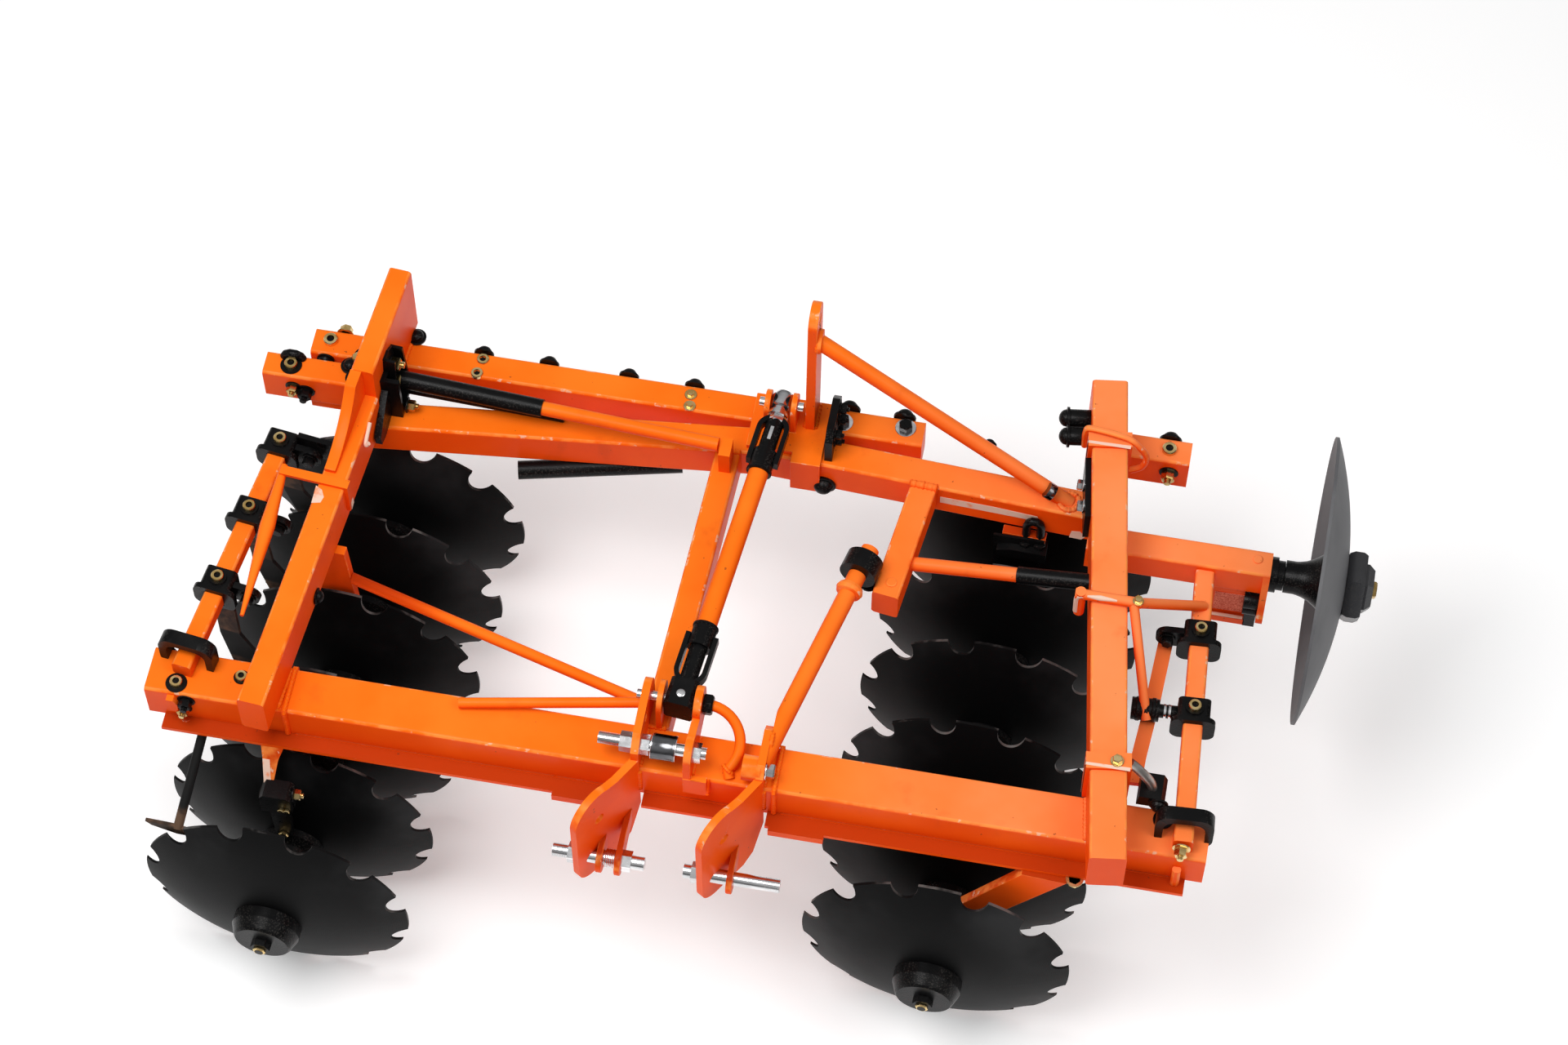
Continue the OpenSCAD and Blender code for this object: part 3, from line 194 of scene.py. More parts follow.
def orange_enamel(name, squared, turn=0):
    """Sprayed orange paint: painted shade as darker red on the sides and low tops, painted light on high tops with
    a paler painted sheen toward the right, and a painted highlight along squared edges, worn through to pale chips
    in places.
    """
    paint = Finish(name, Specular_IOR_Level=0.06, Coat_Weight=0.03, Coat_Roughness=0.12)
    cloud = paint.noise(3.2, 4)
    streak = paint.noise(9, 5, stretch=(1, 1, 0.35))
    across, _, height = paint.parts(paint.place())
    upward = paint.parts(paint.normal())[2].step(0.05, 0.95)
    high = height.step(TOP_LIGHT_LOW, TOP_LIGHT_HIGH)
    # Sides take a darker, redder orange as painted shade, and tops high on the frame take a lighter one as painted
    # light
    sides = paint.mix(cloud.step(0.35, 0.7), (0.90, 0.076, 0.0025), (0.98, 0.104, 0.004))
    tops = paint.mix(cloud.step(0.3, 0.7), (0.92, 0.148, 0.004), (0.98, 0.195, 0.012))
    pale = paint.mix(cloud.step(0.3, 0.7), (0.93, 0.205, 0.046), (0.97, 0.262, 0.085))
    # Tops grow paler toward the right side of the frame: a painted sheen
    tops = paint.mix(across.step(SHEEN_FROM, SHEEN_TO), tops, pale)
    colour = paint.mix(upward * high, sides, tops)
    # Up-facing surfaces low on the frame take a dark red: painted shade
    colour = paint.mix(upward * (1 - high), colour, (0.46, 0.040, 0.003))
    colour = paint.mix(streak.step(0.60, 0.80) * 0.4, colour, (0.55, 0.052, 0.004))
    speck = paint.noise(75, 2).step(0.735, 0.775)
    colour = paint.mix(speck * 0.6, colour, (0.10, 0.030, 0.012))
    rough = 0.28 + 0.16 * streak
    if squared:
        edge = paint.edge(turn)
        # A lighter orange along squared edges is a painted highlight; the pale patches are paint worn through
        colour = paint.mix(edge * paint.noise(26, 3).step(0.35, 0.62) * 0.55, colour, (1.0, 0.34, 0.07))
        bare = edge * paint.noise(48, 4).step(0.60, 0.66)
        colour = paint.mix(bare * 0.75, colour, (0.80, 0.50, 0.34))
        rough = rough + 0.2 * bare
    paint.set(Base_Color=colour, Roughness=rough)
    paint.bump(paint.noise(380, 2), 0.0004, 0.22)
    return paint.material


def black_satin(name, sheen, ground):
    """Black paint over castings and brackets, with a fine cast skin and rubbed edges."""
    paint = Finish(name, Specular_IOR_Level=sheen)
    cloud = paint.noise(14, 4)
    grain = paint.noise(320, 3)
    dust = paint.parts(paint.normal())[2].step(0.2, 1.0) * cloud.step(0.45, 0.75)
    colour = paint.mix(dust * 0.4, (ground, ground, 1.1 * ground), (0.011, 0.0105, 0.010))
    colour = paint.mix(paint.edge() * grain.step(0.52, 0.66) * 0.4, colour, (0.070, 0.064, 0.058))
    paint.set(Base_Color=colour, Roughness=0.18 + 0.24 * cloud)
    paint.bump(grain + cloud * 0.6, 0.0012, 0.35)
    return paint.material


def disc_lacquer(joint, rim_r, ground, reflection_tone, worn):
    """Lacquer on a dished disc: a lighter smoky tone toward the rim as painted reflection, and a rubbed cutting
    edge.
    """
    steel = Finish("disc_lacquer_" + joint["child"], Specular_IOR_Level=0.06)
    axis = Vector(joint["axis"]).normalized()
    arm = steel.vector("SUBTRACT", steel.place(), Vector(joint["pos_m"]))
    radius = steel.vector("LENGTH", steel.vector("CROSS_PRODUCT", arm, axis), (0, 0, 0), "Value")
    facing = abs(steel.vector("DOT_PRODUCT", steel.normal(), axis, "Value"))
    cloud = steel.noise(5, 5)
    # A lighter smoky tone toward the rim: painted reflection
    rim_reflection = steel.noise(3.1, 4).step(0.40, 0.72) * radius.step(0.45 * rim_r, 1.02 * rim_r)
    rings = steel.node("ShaderNodeMath", {"operation": "SINE"}, {0: radius * 2400 + cloud * 7})
    colour = steel.mix(rim_reflection, (ground, ground, 1.05 * ground), (reflection_tone, reflection_tone, 1.03 * reflection_tone))
    rubbed = (1 - facing.step(0.15, 0.55)) * radius.step(0.80 * rim_r, 0.86 * rim_r)
    rubbed = rubbed * steel.noise(11, 4).step(0.48, 0.66)
    colour = steel.mix(rubbed * worn, colour, (0.24, 0.23, 0.22))
    steel.set(Base_Color=colour, Roughness=0.40 + 0.14 * cloud + 0.03 * rings, Metallic=rubbed * worn)
    steel.bump(rings * 0.15 + cloud, 0.0008, 0.2)
    return steel.material


def plated(name, dark, light, rough):
    """Bright plating with faint handling smears."""
    plate = Finish(name, Metallic=1.0)
    smear = plate.noise(45, 3, stretch=(0.25, 1, 1))
    plate.set(
        Base_Color=plate.mix(smear.step(0.35, 0.7), dark, light),
        Roughness=rough + 0.18 * plate.noise(150, 2),
    )
    plate.bump(plate.noise(500, 2), 0.0002, 0.2)
    return plate.material


# The horn's arm is dark between these depths below the frame's top
ARM_FROM, ARM_TO = 0.130, 0.204


def worn_steel():
    """Scraper steel: brown oxide with scoured patches, dark along the horn's arm."""
    steel = Finish("worn_steel", Specular_IOR_Level=0.3)
    rust = steel.noise(26, 5)
    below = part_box("rear_beam")[1][2] - steel.parts(steel.place())[2]
    colour = steel.mix(rust.step(0.4, 0.65), (0.030, 0.018, 0.012), (0.120, 0.068, 0.040))
    arm = below.step(ARM_FROM - 0.004, ARM_FROM) * (1 - below.step(ARM_TO, ARM_TO + 0.011))
    colour = steel.mix(arm, colour, (0.006, 0.006, 0.006))
    steel.set(Base_Color=colour, Roughness=0.55 + 0.25 * rust, Metallic=0.45 - 0.4 * rust)
    steel.bump(rust, 0.001, 0.4)
    return steel.material


def rough_red():
    """Thick red undercoat left rough on a plate that the enamel missed."""
    coat = Finish("rough_red", Specular_IOR_Level=0.15)
    grain = coat.noise(420, 3)
    coat.set(
        Base_Color=coat.mix(grain.step(0.35, 0.65), (0.62, 0.085, 0.045), (0.90, 0.26, 0.16)),
        Roughness=0.7 + 0.2 * grain,
    )
    coat.bump(grain, 0.002, 0.6)
    return coat.material


def rubbed_primer():
    """Where straps and bolts have rubbed the orange through to its pale undercoat."""
    coat = Finish("rubbed_primer", Specular_IOR_Level=0.3)
    patch = coat.noise(38, 5)
    colour = coat.mix(patch.step(0.26, 0.46), (0.85, 0.22, 0.06), (0.80, 0.56, 0.44))
    coat.set(Base_Color=colour, Roughness=0.45 + 0.2 * patch)
    coat.bump(patch, 0.0006, 0.3)
    return coat.material


ORANGE = orange_enamel("orange_enamel", True)
ORANGE_ROUND = orange_enamel("orange_enamel_round", False)
HITCH_FLARE = math.radians(-30)
ORANGE_FLARED = orange_enamel("orange_enamel_flared", True, HITCH_FLARE)
BLACK = black_satin("black_satin", 0.12, 0.0028)
# The hub block's ground is a lighter grey than the black satin's: a painted sheen
HUB_SHEEN_BLACK = black_satin("hub_satin_painted_sheen", 0.5, 0.034)
ZINC = plated("yellow_zinc", (0.55, 0.36, 0.12), (0.82, 0.64, 0.32), 0.16)
BRIGHT = plated("bright_plate", (0.58, 0.58, 0.59), (0.84, 0.84, 0.85), 0.10)
DARK_BRIGHT = plated("dark_bright_plate", (0.10, 0.10, 0.105), (0.20, 0.20, 0.21), 0.10)
WORN = worn_steel()
BARE = plated("bare_steel", (0.30, 0.28, 0.26), (0.52, 0.49, 0.46), 0.30)
PRIMER = rubbed_primer()
ROUGH_RED = rough_red()
SLOT_FINISH = {
    "orange_paint": ORANGE,
    "black_paint": BLACK,
    "disc_steel": WORN,
    "bright_pins": BRIGHT,
    "zinc_plate": ZINC,
}
GANG_RIM_R = (reach("left_discs")[1].z - reach("left_discs")[0].z) / 2 * MM
SIDE_RIM_R = (reach("side_disc")[1].z - reach("side_disc")[0].z) / 2 * MM
NODE_FINISH = {
    "left_discs": disc_lacquer(joints["left_gang_spin"], GANG_RIM_R, 0.0032, 0.028, 0.6),
    "right_discs": disc_lacquer(joints["right_gang_spin"], GANG_RIM_R, 0.0032, 0.028, 0.6),
    # The side disc's light grey ground and rim tone are painted light on its lit face
    "side_disc": disc_lacquer(joints["side_disc_spin"], SIDE_RIM_R, 0.10, 0.15, 0.05),
    "left_axle": BLACK,
    "right_axle": BLACK,
}
ROUND_BARS = [
    "link_tube", "mast_brace", "hitch_stay", "adjuster_rods", "near_stays", "scraper_rail",
    "beam_straps", "left_gusset",
]
NODE_FINISH.update({name: ORANGE_ROUND for name in ROUND_BARS})
NODE_FINISH.update({name: ORANGE_FLARED for name in ("hitch_left", "hitch_right", "hitch_ears")})
SOFT_EDGE = 1.6 * MM
SHARP_NODES = [
    "hitch_left", "hitch_centre", "hitch_right", "hitch_ears", "mast_plate", "splice_plate", "left_gusset",
    "beam_straps", "brackets", "scraper_clamps", "bearings", "hangers", "scrapers", "side_hub",
]


def dress_frame():
    """Gives every node of the frame its finish and breaks the sharp edges of plates and castings."""
    for row in frame["record"]["subparts"]:
        name = row["node"]
        piece = nodes[name]
        piece.data.materials.clear()
        piece.data.materials.append(NODE_FINISH.get(name, SLOT_FINISH[row["material_slot"]]))
        if name in SHARP_NODES:
            piece.modifiers.new("joined_faces", "WELD").merge_threshold = 0.02 * MM
            soften(piece, SOFT_EDGE)


def soften(piece, width):
    edge = piece.modifiers.new("soft_edge", "BEVEL")
    edge.width = width
    edge.segments = 2
    edge.limit_method = "ANGLE"
    edge.angle_limit = math.radians(40)


# Making pieces


class Work:
    """One piece in the making: solids are added in millimetres and become one mesh."""

    def __init__(self):
        self.mesh = bmesh.new()

    def skin(self, loops, closed=False):
        """Joins loops of points to a skin, with a face over each end unless the skin is closed."""
        rows = [[self.mesh.verts.new(at(point)) for point in loop] for loop in loops]
        pairs = list(zip(rows, rows[1:]))
        if closed:
            pairs.append((rows[-1], rows[0]))
        for first, second in pairs:
            for i, corner in enumerate(first):
                j = (i + 1) % len(first)
                self.mesh.faces.new((corner, first[j], second[j], second[i]))
        if not closed:
            self.mesh.faces.new(list(reversed(rows[0])))
            self.mesh.faces.new(rows[-1])

    def turned(self, place, axis, profile, sides=28, closed=False, start=0):
        """A solid turned about an axis from pairs of radius and height; six sides make a hexagon."""
        axis = Vector(axis).normalized()
        across = axis.orthogonal().normalized()
        beside = axis.cross(across)
        turns = [start + math.tau * i / sides for i in range(sides)]
        spokes = [across * math.cos(turn) + beside * math.sin(turn) for turn in turns]
        self.skin([[Vector(place) + axis * h + spoke * r for spoke in spokes] for r, h in profile], closed)

    def swept(self, points, radii, sides=14):
        """A round bar along a line of points, with one radius or one for each point."""
        points = [Vector(point) for point in points]
        if not isinstance(radii, list):
            radii = [radii] * len(points)
        loops = []
        across = None
        for i, (point, radius) in enumerate(zip(points, radii)):
            along = (points[min(i + 1, len(points) - 1)] - points[max(i - 1, 0)]).normalized()
            if across is None:
                across = along.orthogonal()
            across = (across - along * across.dot(along)).normalized()
            beside = along.cross(across)
            turns = [math.tau * k / sides for k in range(sides)]
            loops.append([point + (across * math.cos(t) + beside * math.sin(t)) * radius for t in turns])
        self.skin(loops)

    def plate(self, place, along, across, outline, thickness):
        """A flat plate: its outline lies in the plane of two directions and it grows square to them."""
        along, across = Vector(along).normalized(), Vector(across).normalized()
        rise = along.cross(across) * thickness
        foot = [Vector(place) + along * u + across * v for u, v in outline]
        self.skin([foot, [point + rise for point in foot]])

    def finish(self, name, material, slot, body):
        bmesh.ops.recalc_face_normals(self.mesh, faces=self.mesh.faces)
        mesh = bpy.data.meshes.new(name)
        self.mesh.to_mesh(mesh)
        self.mesh.free()
        mesh.polygons.foreach_set("use_smooth", [True] * len(mesh.polygons))
        mesh.set_sharp_from_angle(angle=math.radians(34))
        mesh.materials.append(material)
        piece = bpy.data.objects.new(name, mesh)
        bpy.context.scene.collection.objects.link(piece)
        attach(piece, body)


def curve(points, steps=6):
    """Points along a smooth line through the given ones."""
    points = [Vector(point) for point in points]
    ends = [2 * points[0] - points[1], *points, 2 * points[-1] - points[-2]]
    line = []
    for a, b, c, d in zip(ends, ends[1:], ends[2:], ends[3:]):
        for i in range(steps):
            t = i / steps
            pull = (c - a) * t + (2 * a - 5 * b + 4 * c - d) * t**2 + (3 * b - a - 3 * c + d) * t**3
            line.append(b + pull / 2)
    return [*line, points[-1]]


bench = {}


def work(group, slot, body="frame", finish=None):
    """The piece of a group that takes this slot's finish, started when it is first asked for."""
    key = group + "_" + slot
    if key not in bench:
        bench[key] = (Work(), finish or SLOT_FINISH[slot], slot, body)
    return bench[key][0]


def clear_bench():
    for name, (made, finish, slot, body) in bench.items():
        made.finish(name, finish, slot, body)


# Fasteners

GOLD, DARK, CHROME, PAINT = "zinc_plate", "black_paint", "bright_pins", "orange_paint"
WASHER_T, WASHER_EDGE = 3, 0.6


def washer(group, place, axis, d, slot=DARK, t=WASHER_T):
    r = 0.5 * d
    profile = [(r - WASHER_EDGE, 0), (r, WASHER_EDGE), (r, t - WASHER_EDGE), (r - WASHER_EDGE, t)]
    work(group, slot).turned(place, axis, profile)


def hexagon(group, place, axis, across, height, slot=GOLD, body="frame"):
    r = across / math.sqrt(3)
    profile = [(0.93 * r, 0), (r, 0.08 * across), (r, height - 0.1 * across), (0.86 * r, height)]
    work(group, slot, body).turned(place, axis, profile, 6)


def bolt_head(group, place, axis, across, slot=GOLD, under=GOLD):
    """A hex head on its washer."""
    washer(group, place, axis, 1.5 * across, under)
    hexagon(group, place, axis, across, WASHER_T + 0.62 * across, slot)


def stud_nut(group, place, axis, across, slot=GOLD, under=DARK):
    """A nut on its washer, with the threaded stud standing proud of it."""
    washer(group, place, axis, 1.55 * across, under)
    hexagon(group, place, axis, across, WASHER_T + 0.7 * across, slot)
    thread(group, place, axis, 0.56 * across, 0, 1.15 * across, slot)


def ring_nut(group, place, axis, d, under=None):
    """A collared nut with a dark socket, on a washer where one shows."""
    if under:
        washer(group, place, axis, under)
    t = WASHER_T if under else 0
    top = t + 0.34 * d
    ring = [(0.27 * d, t), (0.5 * d, t), (0.5 * d, top - 0.06 * d), (0.45 * d, top), (0.27 * d, top)]
    work(group, GOLD).turned(place, axis, ring, closed=True)
    work(group, DARK).turned(place, axis, [(0.27 * d, 0), (0.27 * d, t + 0.16 * d)], 6)


def dome_head(group, place, axis, d):
    """A round black head on a collar."""
    collar = [(0.58 * d, 0), (0.6 * d, 0.13 * d), (0.5 * d, 0.16 * d)]
    dome = [(0.46 * d * math.cos(a), 0.16 * d + 0.40 * d * math.sin(a)) for a in (0, 0.4, 0.8, 1.2, 1.45)]
    work(group, DARK).turned(place, axis, [*collar, *dome])


def thread(group, place, axis, d, start, end, slot=CHROME, pitch=2.5):
    """The threaded part of a stud or pin between two distances from a place."""
    profile = [(0.5 * d - 1.0, start)]
    turns = max(2, round((end - start) / pitch))
    step = (end - start) / turns
    for i in range(turns):
        foot = start + (end - start) * i / turns
        profile += [(0.5 * d - 0.7, foot + 0.1 * step), (0.5 * d + 0.35, foot + 0.5 * step)]
        profile += [(0.5 * d - 0.7, foot + 0.9 * step)]
    profile.append((0.5 * d - 1.0, end))
    work(group, slot).turned(place, axis, profile)


def weld(points, size=6, group="weld_beads"):
    """A rippled bead along a corner."""
    points = [Vector(point) for point in points]
    steps = []
    for first, second in zip(points, points[1:]):
        count = max(2, round((second - first).length / 3))
        steps += [first.lerp(second, i / count) for i in range(count)]
    steps.append(points[-1])
    radii = [size * (1 + 0.16 * math.sin(2.05 * i) + draw.uniform(-0.07, 0.07)) for i in range(len(steps))]
    radii[0] = radii[-1] = 0.55 * size
    work(group, PAINT, finish=ORANGE_ROUND).swept(steps, radii, 10)


def ring_weld(centre, axis, r, size=5):
    """A bead all round the end of a bar."""
    axis = Vector(axis).normalized()
    across = axis.orthogonal().normalized()
    beside = axis.cross(across)
    turns = [math.tau * i / 24 for i in range(25)]
    weld([Vector(centre) + (across * math.cos(t) + beside * math.sin(t)) * r for t in turns], size)


# Lines of the frame, in millimetres from the setting-out point

FRAME_TOP = reach("rear_beam")[1].z
NEAR_FRONT, NEAR_BACK = 208, 308
NEAR_FOOT = FRAME_TOP - 100
LEFT_HALF, RIGHT_HALF, TOWER_HALF = 28, 37, 24
LEFT_TOP = reach("left_beam")[1].z
RIGHT_TOP = reach("right_beam")[1].z
REAR_FRONT, REAR_BACK = reach("rear_beam")[0].y, reach("rear_beam")[1].y
MIDDLE_HALF = 33
KINK = Vector((850, 1012))
HITCH_LEFT, HITCH_CENTRE, HITCH_RIGHT = 726, 832, 978
HITCH_HALF = 8
BRACE_TOP, BRACE_FOOT = Vector((940, 1081, 1002)), Vector((1490, 976, FRAME_TOP))
LEFT_LEAN, RIGHT_LEAN = math.radians(4.6), math.radians(7.7)
AXLE_TIP = -130.4


def left_beam_x(y):
    return -40 + (y - 160) * math.tan(LEFT_LEAN)


def right_beam_x(y):
    return 1681 - (y - 122) * math.tan(RIGHT_LEAN)


RIGHT_BEAM_OUT = Vector((-math.cos(RIGHT_LEAN), -math.sin(RIGHT_LEAN), 0))


def middle_beam_y(x):
    end = Vector((-12, 925)) if x < KINK.x else Vector((right_beam_x(976) + 10, 976))
    return KINK.y + (x - KINK.x) * (end.y - KINK.y) / (end.x - KINK.x)


def bar_frame(front, rear):
    """The frame of a scraper bar: Y along it from its front end, Z up from its foot."""
    front, rear = Vector(front), Vector(rear)
    run = rear - front
    heading = math.atan2(run.y, run.x) - math.pi / 2
    pitch = math.asin(run.z / run.length)
    return Matrix.Translation(front) @ Matrix.Rotation(heading, 4, "Z") @ Matrix.Rotation(pitch, 4, "X")


LEFT_BAR = bar_frame((-214, 252, FRAME_TOP), (-137, 828, FRAME_TOP))
RIGHT_BAR = bar_frame((1822, 222, FRAME_TOP), (1786, 900, FRAME_TOP - 58))
LEFT_CLAMPS, RIGHT_CLAMPS = (206, 380, 552), (306, 495)
PAD_TOP = 58


def gang_frame(joint):
    """The frame of a gang: its axle's height, Y along the axle from the first disc's rim."""
    base = (Vector(joints[joint]["pos_m"]) - setting_out) / MM
    axis = Vector(joints[joint]["axis"])
    return Matrix.Translation(base) @ Matrix.Rotation(-math.atan2(axis.x, axis.y), 4, "Z")


LEFT_GANG, RIGHT_GANG = gang_frame("left_gang_spin"), gang_frame("right_gang_spin")
BEARINGS = [(LEFT_GANG, 215), (LEFT_GANG, 595), (RIGHT_GANG, 61), (RIGHT_GANG, 823)]


def near_beam_fixings():
    group = "near_beam_fixings"
    ring_nut(group, (-222, 232, FRAME_TOP), UP, 26, 44)
    ring_nut(group, (-96, 268, FRAME_TOP), UP, 24, 32)
    tab = [(0, 0), (22, 0), (22, 30), (14, 44), (0, 44)]
    work(group, PAINT).plate((-236, NEAR_FRONT, FRAME_TOP - 52), RIGHT, UP, tab, 14)
    stud_nut(group, (-198, NEAR_FRONT, FRAME_TOP - 20), FRONT, 24, DARK)
    stud_nut(group, (-206, NEAR_FRONT, FRAME_TOP - 52), FRONT, 22)
    work(group, PAINT).swept([(-206, 202, 610), (-206, 196, 590), (-206, 200, 574)], 9)
    washer(group, (1776, 284, FRAME_TOP), UP, 40, DARK, 6)
    stud_nut(group, (1820, 220, FRAME_TOP + 20), FRONT, 24, GOLD, GOLD)
    work(group, PAINT).swept([(1818, 202, 660), (1818, 196, 630), (1818, 197, 600), (1818, 206, 586)], 9)
    washer(group, (795, 226, NEAR_FOOT), DOWN, 46, DARK, 12)
    bolt_head(group, (1622, 172, NEAR_FOOT + 5), DOWN, 24)


def left_side_fixings():
    group = "left_side_fixings"
    knob_y = 466
    face = (left_beam_x(knob_y) + LEFT_HALF, knob_y, FRAME_TOP + 24)
    dome_head(group, face, RIGHT, 30)
    stub_x, stub_y = -176, 1015
    ring_nut(group, (stub_x, stub_y, FRAME_TOP), UP, 28, 46)
    bends = (0, 0.6, 1.2, 1.9, 2.5, 3.14)
    clip = [(stub_x + 20 * math.cos(a), stub_y + 20, FRAME_TOP + 16 * math.sin(a)) for a in bends]
    work(group, DARK).swept(clip, 9)
    stud_nut(group, (-168, stub_y - 28, FRAME_TOP - 36), FRONT, 22)
    stud_nut(group, (-142, stub_y - 28, FRAME_TOP - 46), FRONT, 26, DARK)
    ring_nut(group, (-108, 1090, FRAME_TOP), UP, 30)
    bolt_head(group, (-84, REAR_BACK, FRAME_TOP - 10), BACK, 24)
    dome_head(group, (-112, REAR_FRONT, FRAME_TOP - 18), FRONT, 32)
    for x, y, d in ((-32, 1006, 40), (-28, 1062, 38), (-52, 1034, 34), (70, 1130, 34)):
        dome_head(group, (x, y, FRAME_TOP), UP, d)
    bolt_head(group, (-40, 1052, FRAME_TOP), UP, 22)


def channel_fixings():
    """Tapered black channel on the tower's inner side with its nuts, and a rubbed clip in front of it."""
    group = "channel_fixings"
    foot_y = 940
    side_x = left_beam_x(foot_y) + TOWER_HALF
    lean = Vector((math.tan(LEFT_LEAN), 1, 0))
    web = [(0, 0), (86, 0), (70, 150), (44, 168), (20, 168)]
    work(group, DARK).plate((side_x + 0.2, foot_y, FRAME_TOP), lean, UP, web, 5)
    for low, high in (((0, 4), (20, 164)), ((82, 4), (66, 150))):
        flange = [(low[0], low[1]), (low[0] + 6, low[1]), (high[0] + 6, high[1]), (high[0], high[1])]
        work(group, DARK).plate((side_x, foot_y, FRAME_TOP), lean, UP, flange, 26)
    for y, z, size in ((986, 116, 26), (976, 70, 28)):
        stud_nut(group, (left_beam_x(y) + TOWER_HALF + 5, y, FRAME_TOP + z), RIGHT, size)
    stud_nut(group, (92, 948, FRAME_TOP + 24), RIGHT, 22)
    hook_x = left_beam_x(815) + LEFT_HALF + 3
    hook = [(hook_x, 842, 806), (hook_x, 806, 797), (hook_x + 2, 796, 793), (hook_x + 8, 797, 800)]
    work(group, PAINT, finish=PRIMER).swept(curve(hook), 4.5)


def front_standard():
    """Flared orange leg under the near beam, with the black clamp and arm it carries between two discs."""
    group = "front_standard"
    leg = [(-44, 4, 176, 602), (-38, -6, 156, 578), (-31, -12, 122, 538), (-28, -14, 112, 520)]
    loops = [[(x0, y, z), (x1, y, z), (x1, y + 11, z), (x0, y + 11, z)] for x0, x1, y, z in leg]
    work(group, PAINT).skin(loops)
    rub_w, rub_t = 15, 0.6
    rub = [
        [(x, y - rub_t, z), (x + rub_w, y - rub_t, z), (x + rub_w, y, z), (x, y, z)]
        for x, _, y, z in leg[1:]
    ]
    work(group + "_wear", PAINT, finish=PRIMER).skin(rub)
    clamp = [(-34, 478), (26, 478), (31, 486), (31, 536), (22, 545), (-26, 545), (-34, 534)]
    work(group, DARK).plate((0, 130, 0), RIGHT, UP, clamp, 42)
    jaw = [(-38, 494), (35, 494), (35, 526), (-38, 526)]
    work(group, DARK).plate((0, 118, 0), RIGHT, UP, jaw, 20)
    arm = [(-24, 480), (20, 480), (14, 352), (4, 344), (-12, 344), (-20, 352)]
    work(group, DARK).plate((0, 116, 0), RIGHT, UP, arm, 14)
    stud_nut(group, (31, 112, 528), RIGHT, 20)
    for x in (14, 26):
        hexagon(group, (x - 4, 88, 502), FRONT, 12, 8)
    hexagon(group, (-2, 102, 362), FRONT, 18, 9)


def rear_beam_fixings():
    group = "rear_beam_fixings"
    for x, y in ((219, 1102), (214, 1066)):
        ring_nut(group, (x, y, FRAME_TOP - 4), UP, 26)
    for x, y in ((668, 1094), (671, 1066)):
        washer(group, (x, y, FRAME_TOP), UP, 26, GOLD)
        hexagon(group, (x, y, FRAME_TOP), UP, 13, 9)
    for x in (217, 358, 530, 671):
        dome_head(group, (x, REAR_BACK, FRAME_TOP - 8), BACK, 36)
    for x, y in ((994, 1084), (1126, 1094)):
        washer(group, (x, y, FRAME_TOP), UP, 44, CHROME)
        hexagon(group, (x, y, FRAME_TOP), UP, 26, 18, DARK)
    for x in (1002, 1120):
        dome_head(group, (x, REAR_BACK, FRAME_TOP - 4), BACK, 40)
    # A thin black sheet over the slot stands for the shade inside the beam: painted shade
    slot = [(0, 0), (62, 0), (62, 20), (0, 20)]
    work(group, DARK).plate((976, REAR_FRONT - 0.6, FRAME_TOP - 60), RIGHT, UP, slot, 0.6)
    hexagon(group, (1008, REAR_FRONT, FRAME_TOP - 50), FRONT, 22, 12, DARK)
    dome_head(group, (1304, 1092, FRAME_TOP - 14), BACK, 26)


def hitch_fixings():
    """Threads of the hitch pins, the top pin's bush and the bolts through the hitch plates."""
    group = "hitch_pins"
    lower_d, top_d = 28, 25
    for pin in ("lower_pin_left", "lower_pin_right"):
        low, high = reach(pin)
        axis_y, axis_z = (low.y + high.y) / 2, (low.z + high.z) / 2
        thread(group, (low.x, axis_y, axis_z), RIGHT, lower_d, 1, 28)
        thread(group, (high.x, axis_y, axis_z), LEFT, lower_d, 1, 30)
        if pin == "lower_pin_left":
            thread(group, (651, axis_y, axis_z), RIGHT, lower_d + 11, 36, 58, pitch=3.4)
    low, high = reach("top_pin")
    axis_y, axis_z = (low.y + high.y) / 2, (low.z + high.z) / 2
    thread(group, (low.x, axis_y, axis_z), RIGHT, top_d, 1, 40)
    thread(group, (high.x, axis_y, axis_z), LEFT, top_d, 1, 9)
    group = "hitch_fixings"
    bush = (756, axis_y, axis_z)
    sleeve = [(25.5, 0.5), (26.8, 2), (26.8, 6), (26.3, 7)]
    sleeve += [(26.3, 43), (26.8, 44), (26.8, 48), (25.5, 49.5)]
    work("top_bush", CHROME, finish=DARK_BRIGHT).turned(bush, RIGHT, sleeve)
    hexagon(group, (840.5, 340, 770), RIGHT, 38, 20, DARK)
    bolt_y, bolt_z = 232, FRAME_TOP + 38
    bolt_head(group, (HITCH_RIGHT + HITCH_HALF, bolt_y, bolt_z), RIGHT, 26, CHROME, CHROME)
    work(group, DARK).turned((948, bolt_y, bolt_z), LEFT, [(15, 0), (15, 8.6)])


def bent_rod():
    """Orange rod from the link pin's end, bent down into the near beam's top."""
    group = "bent_rod"
    centre = Vector((852, 275.9, FRAME_TOP + 33))
    bend_r = 74
    tilt = Matrix.Rotation(math.radians(30), 3, "X")
    turns = [math.radians(90 - 130 * i / 18) for i in range(19)]
    arc = [centre + tilt @ Vector((math.cos(t), math.sin(t), 0)) * bend_r for t in turns]
    line = [arc[0] + LEFT * 8, *arc, arc[-1] + Vector((6, -14, -9))]
    work(group, PAINT, finish=ORANGE_ROUND).swept(line, 11, 20)
    ring_weld(arc[-1], arc[-1] - arc[-2], 12, 4)


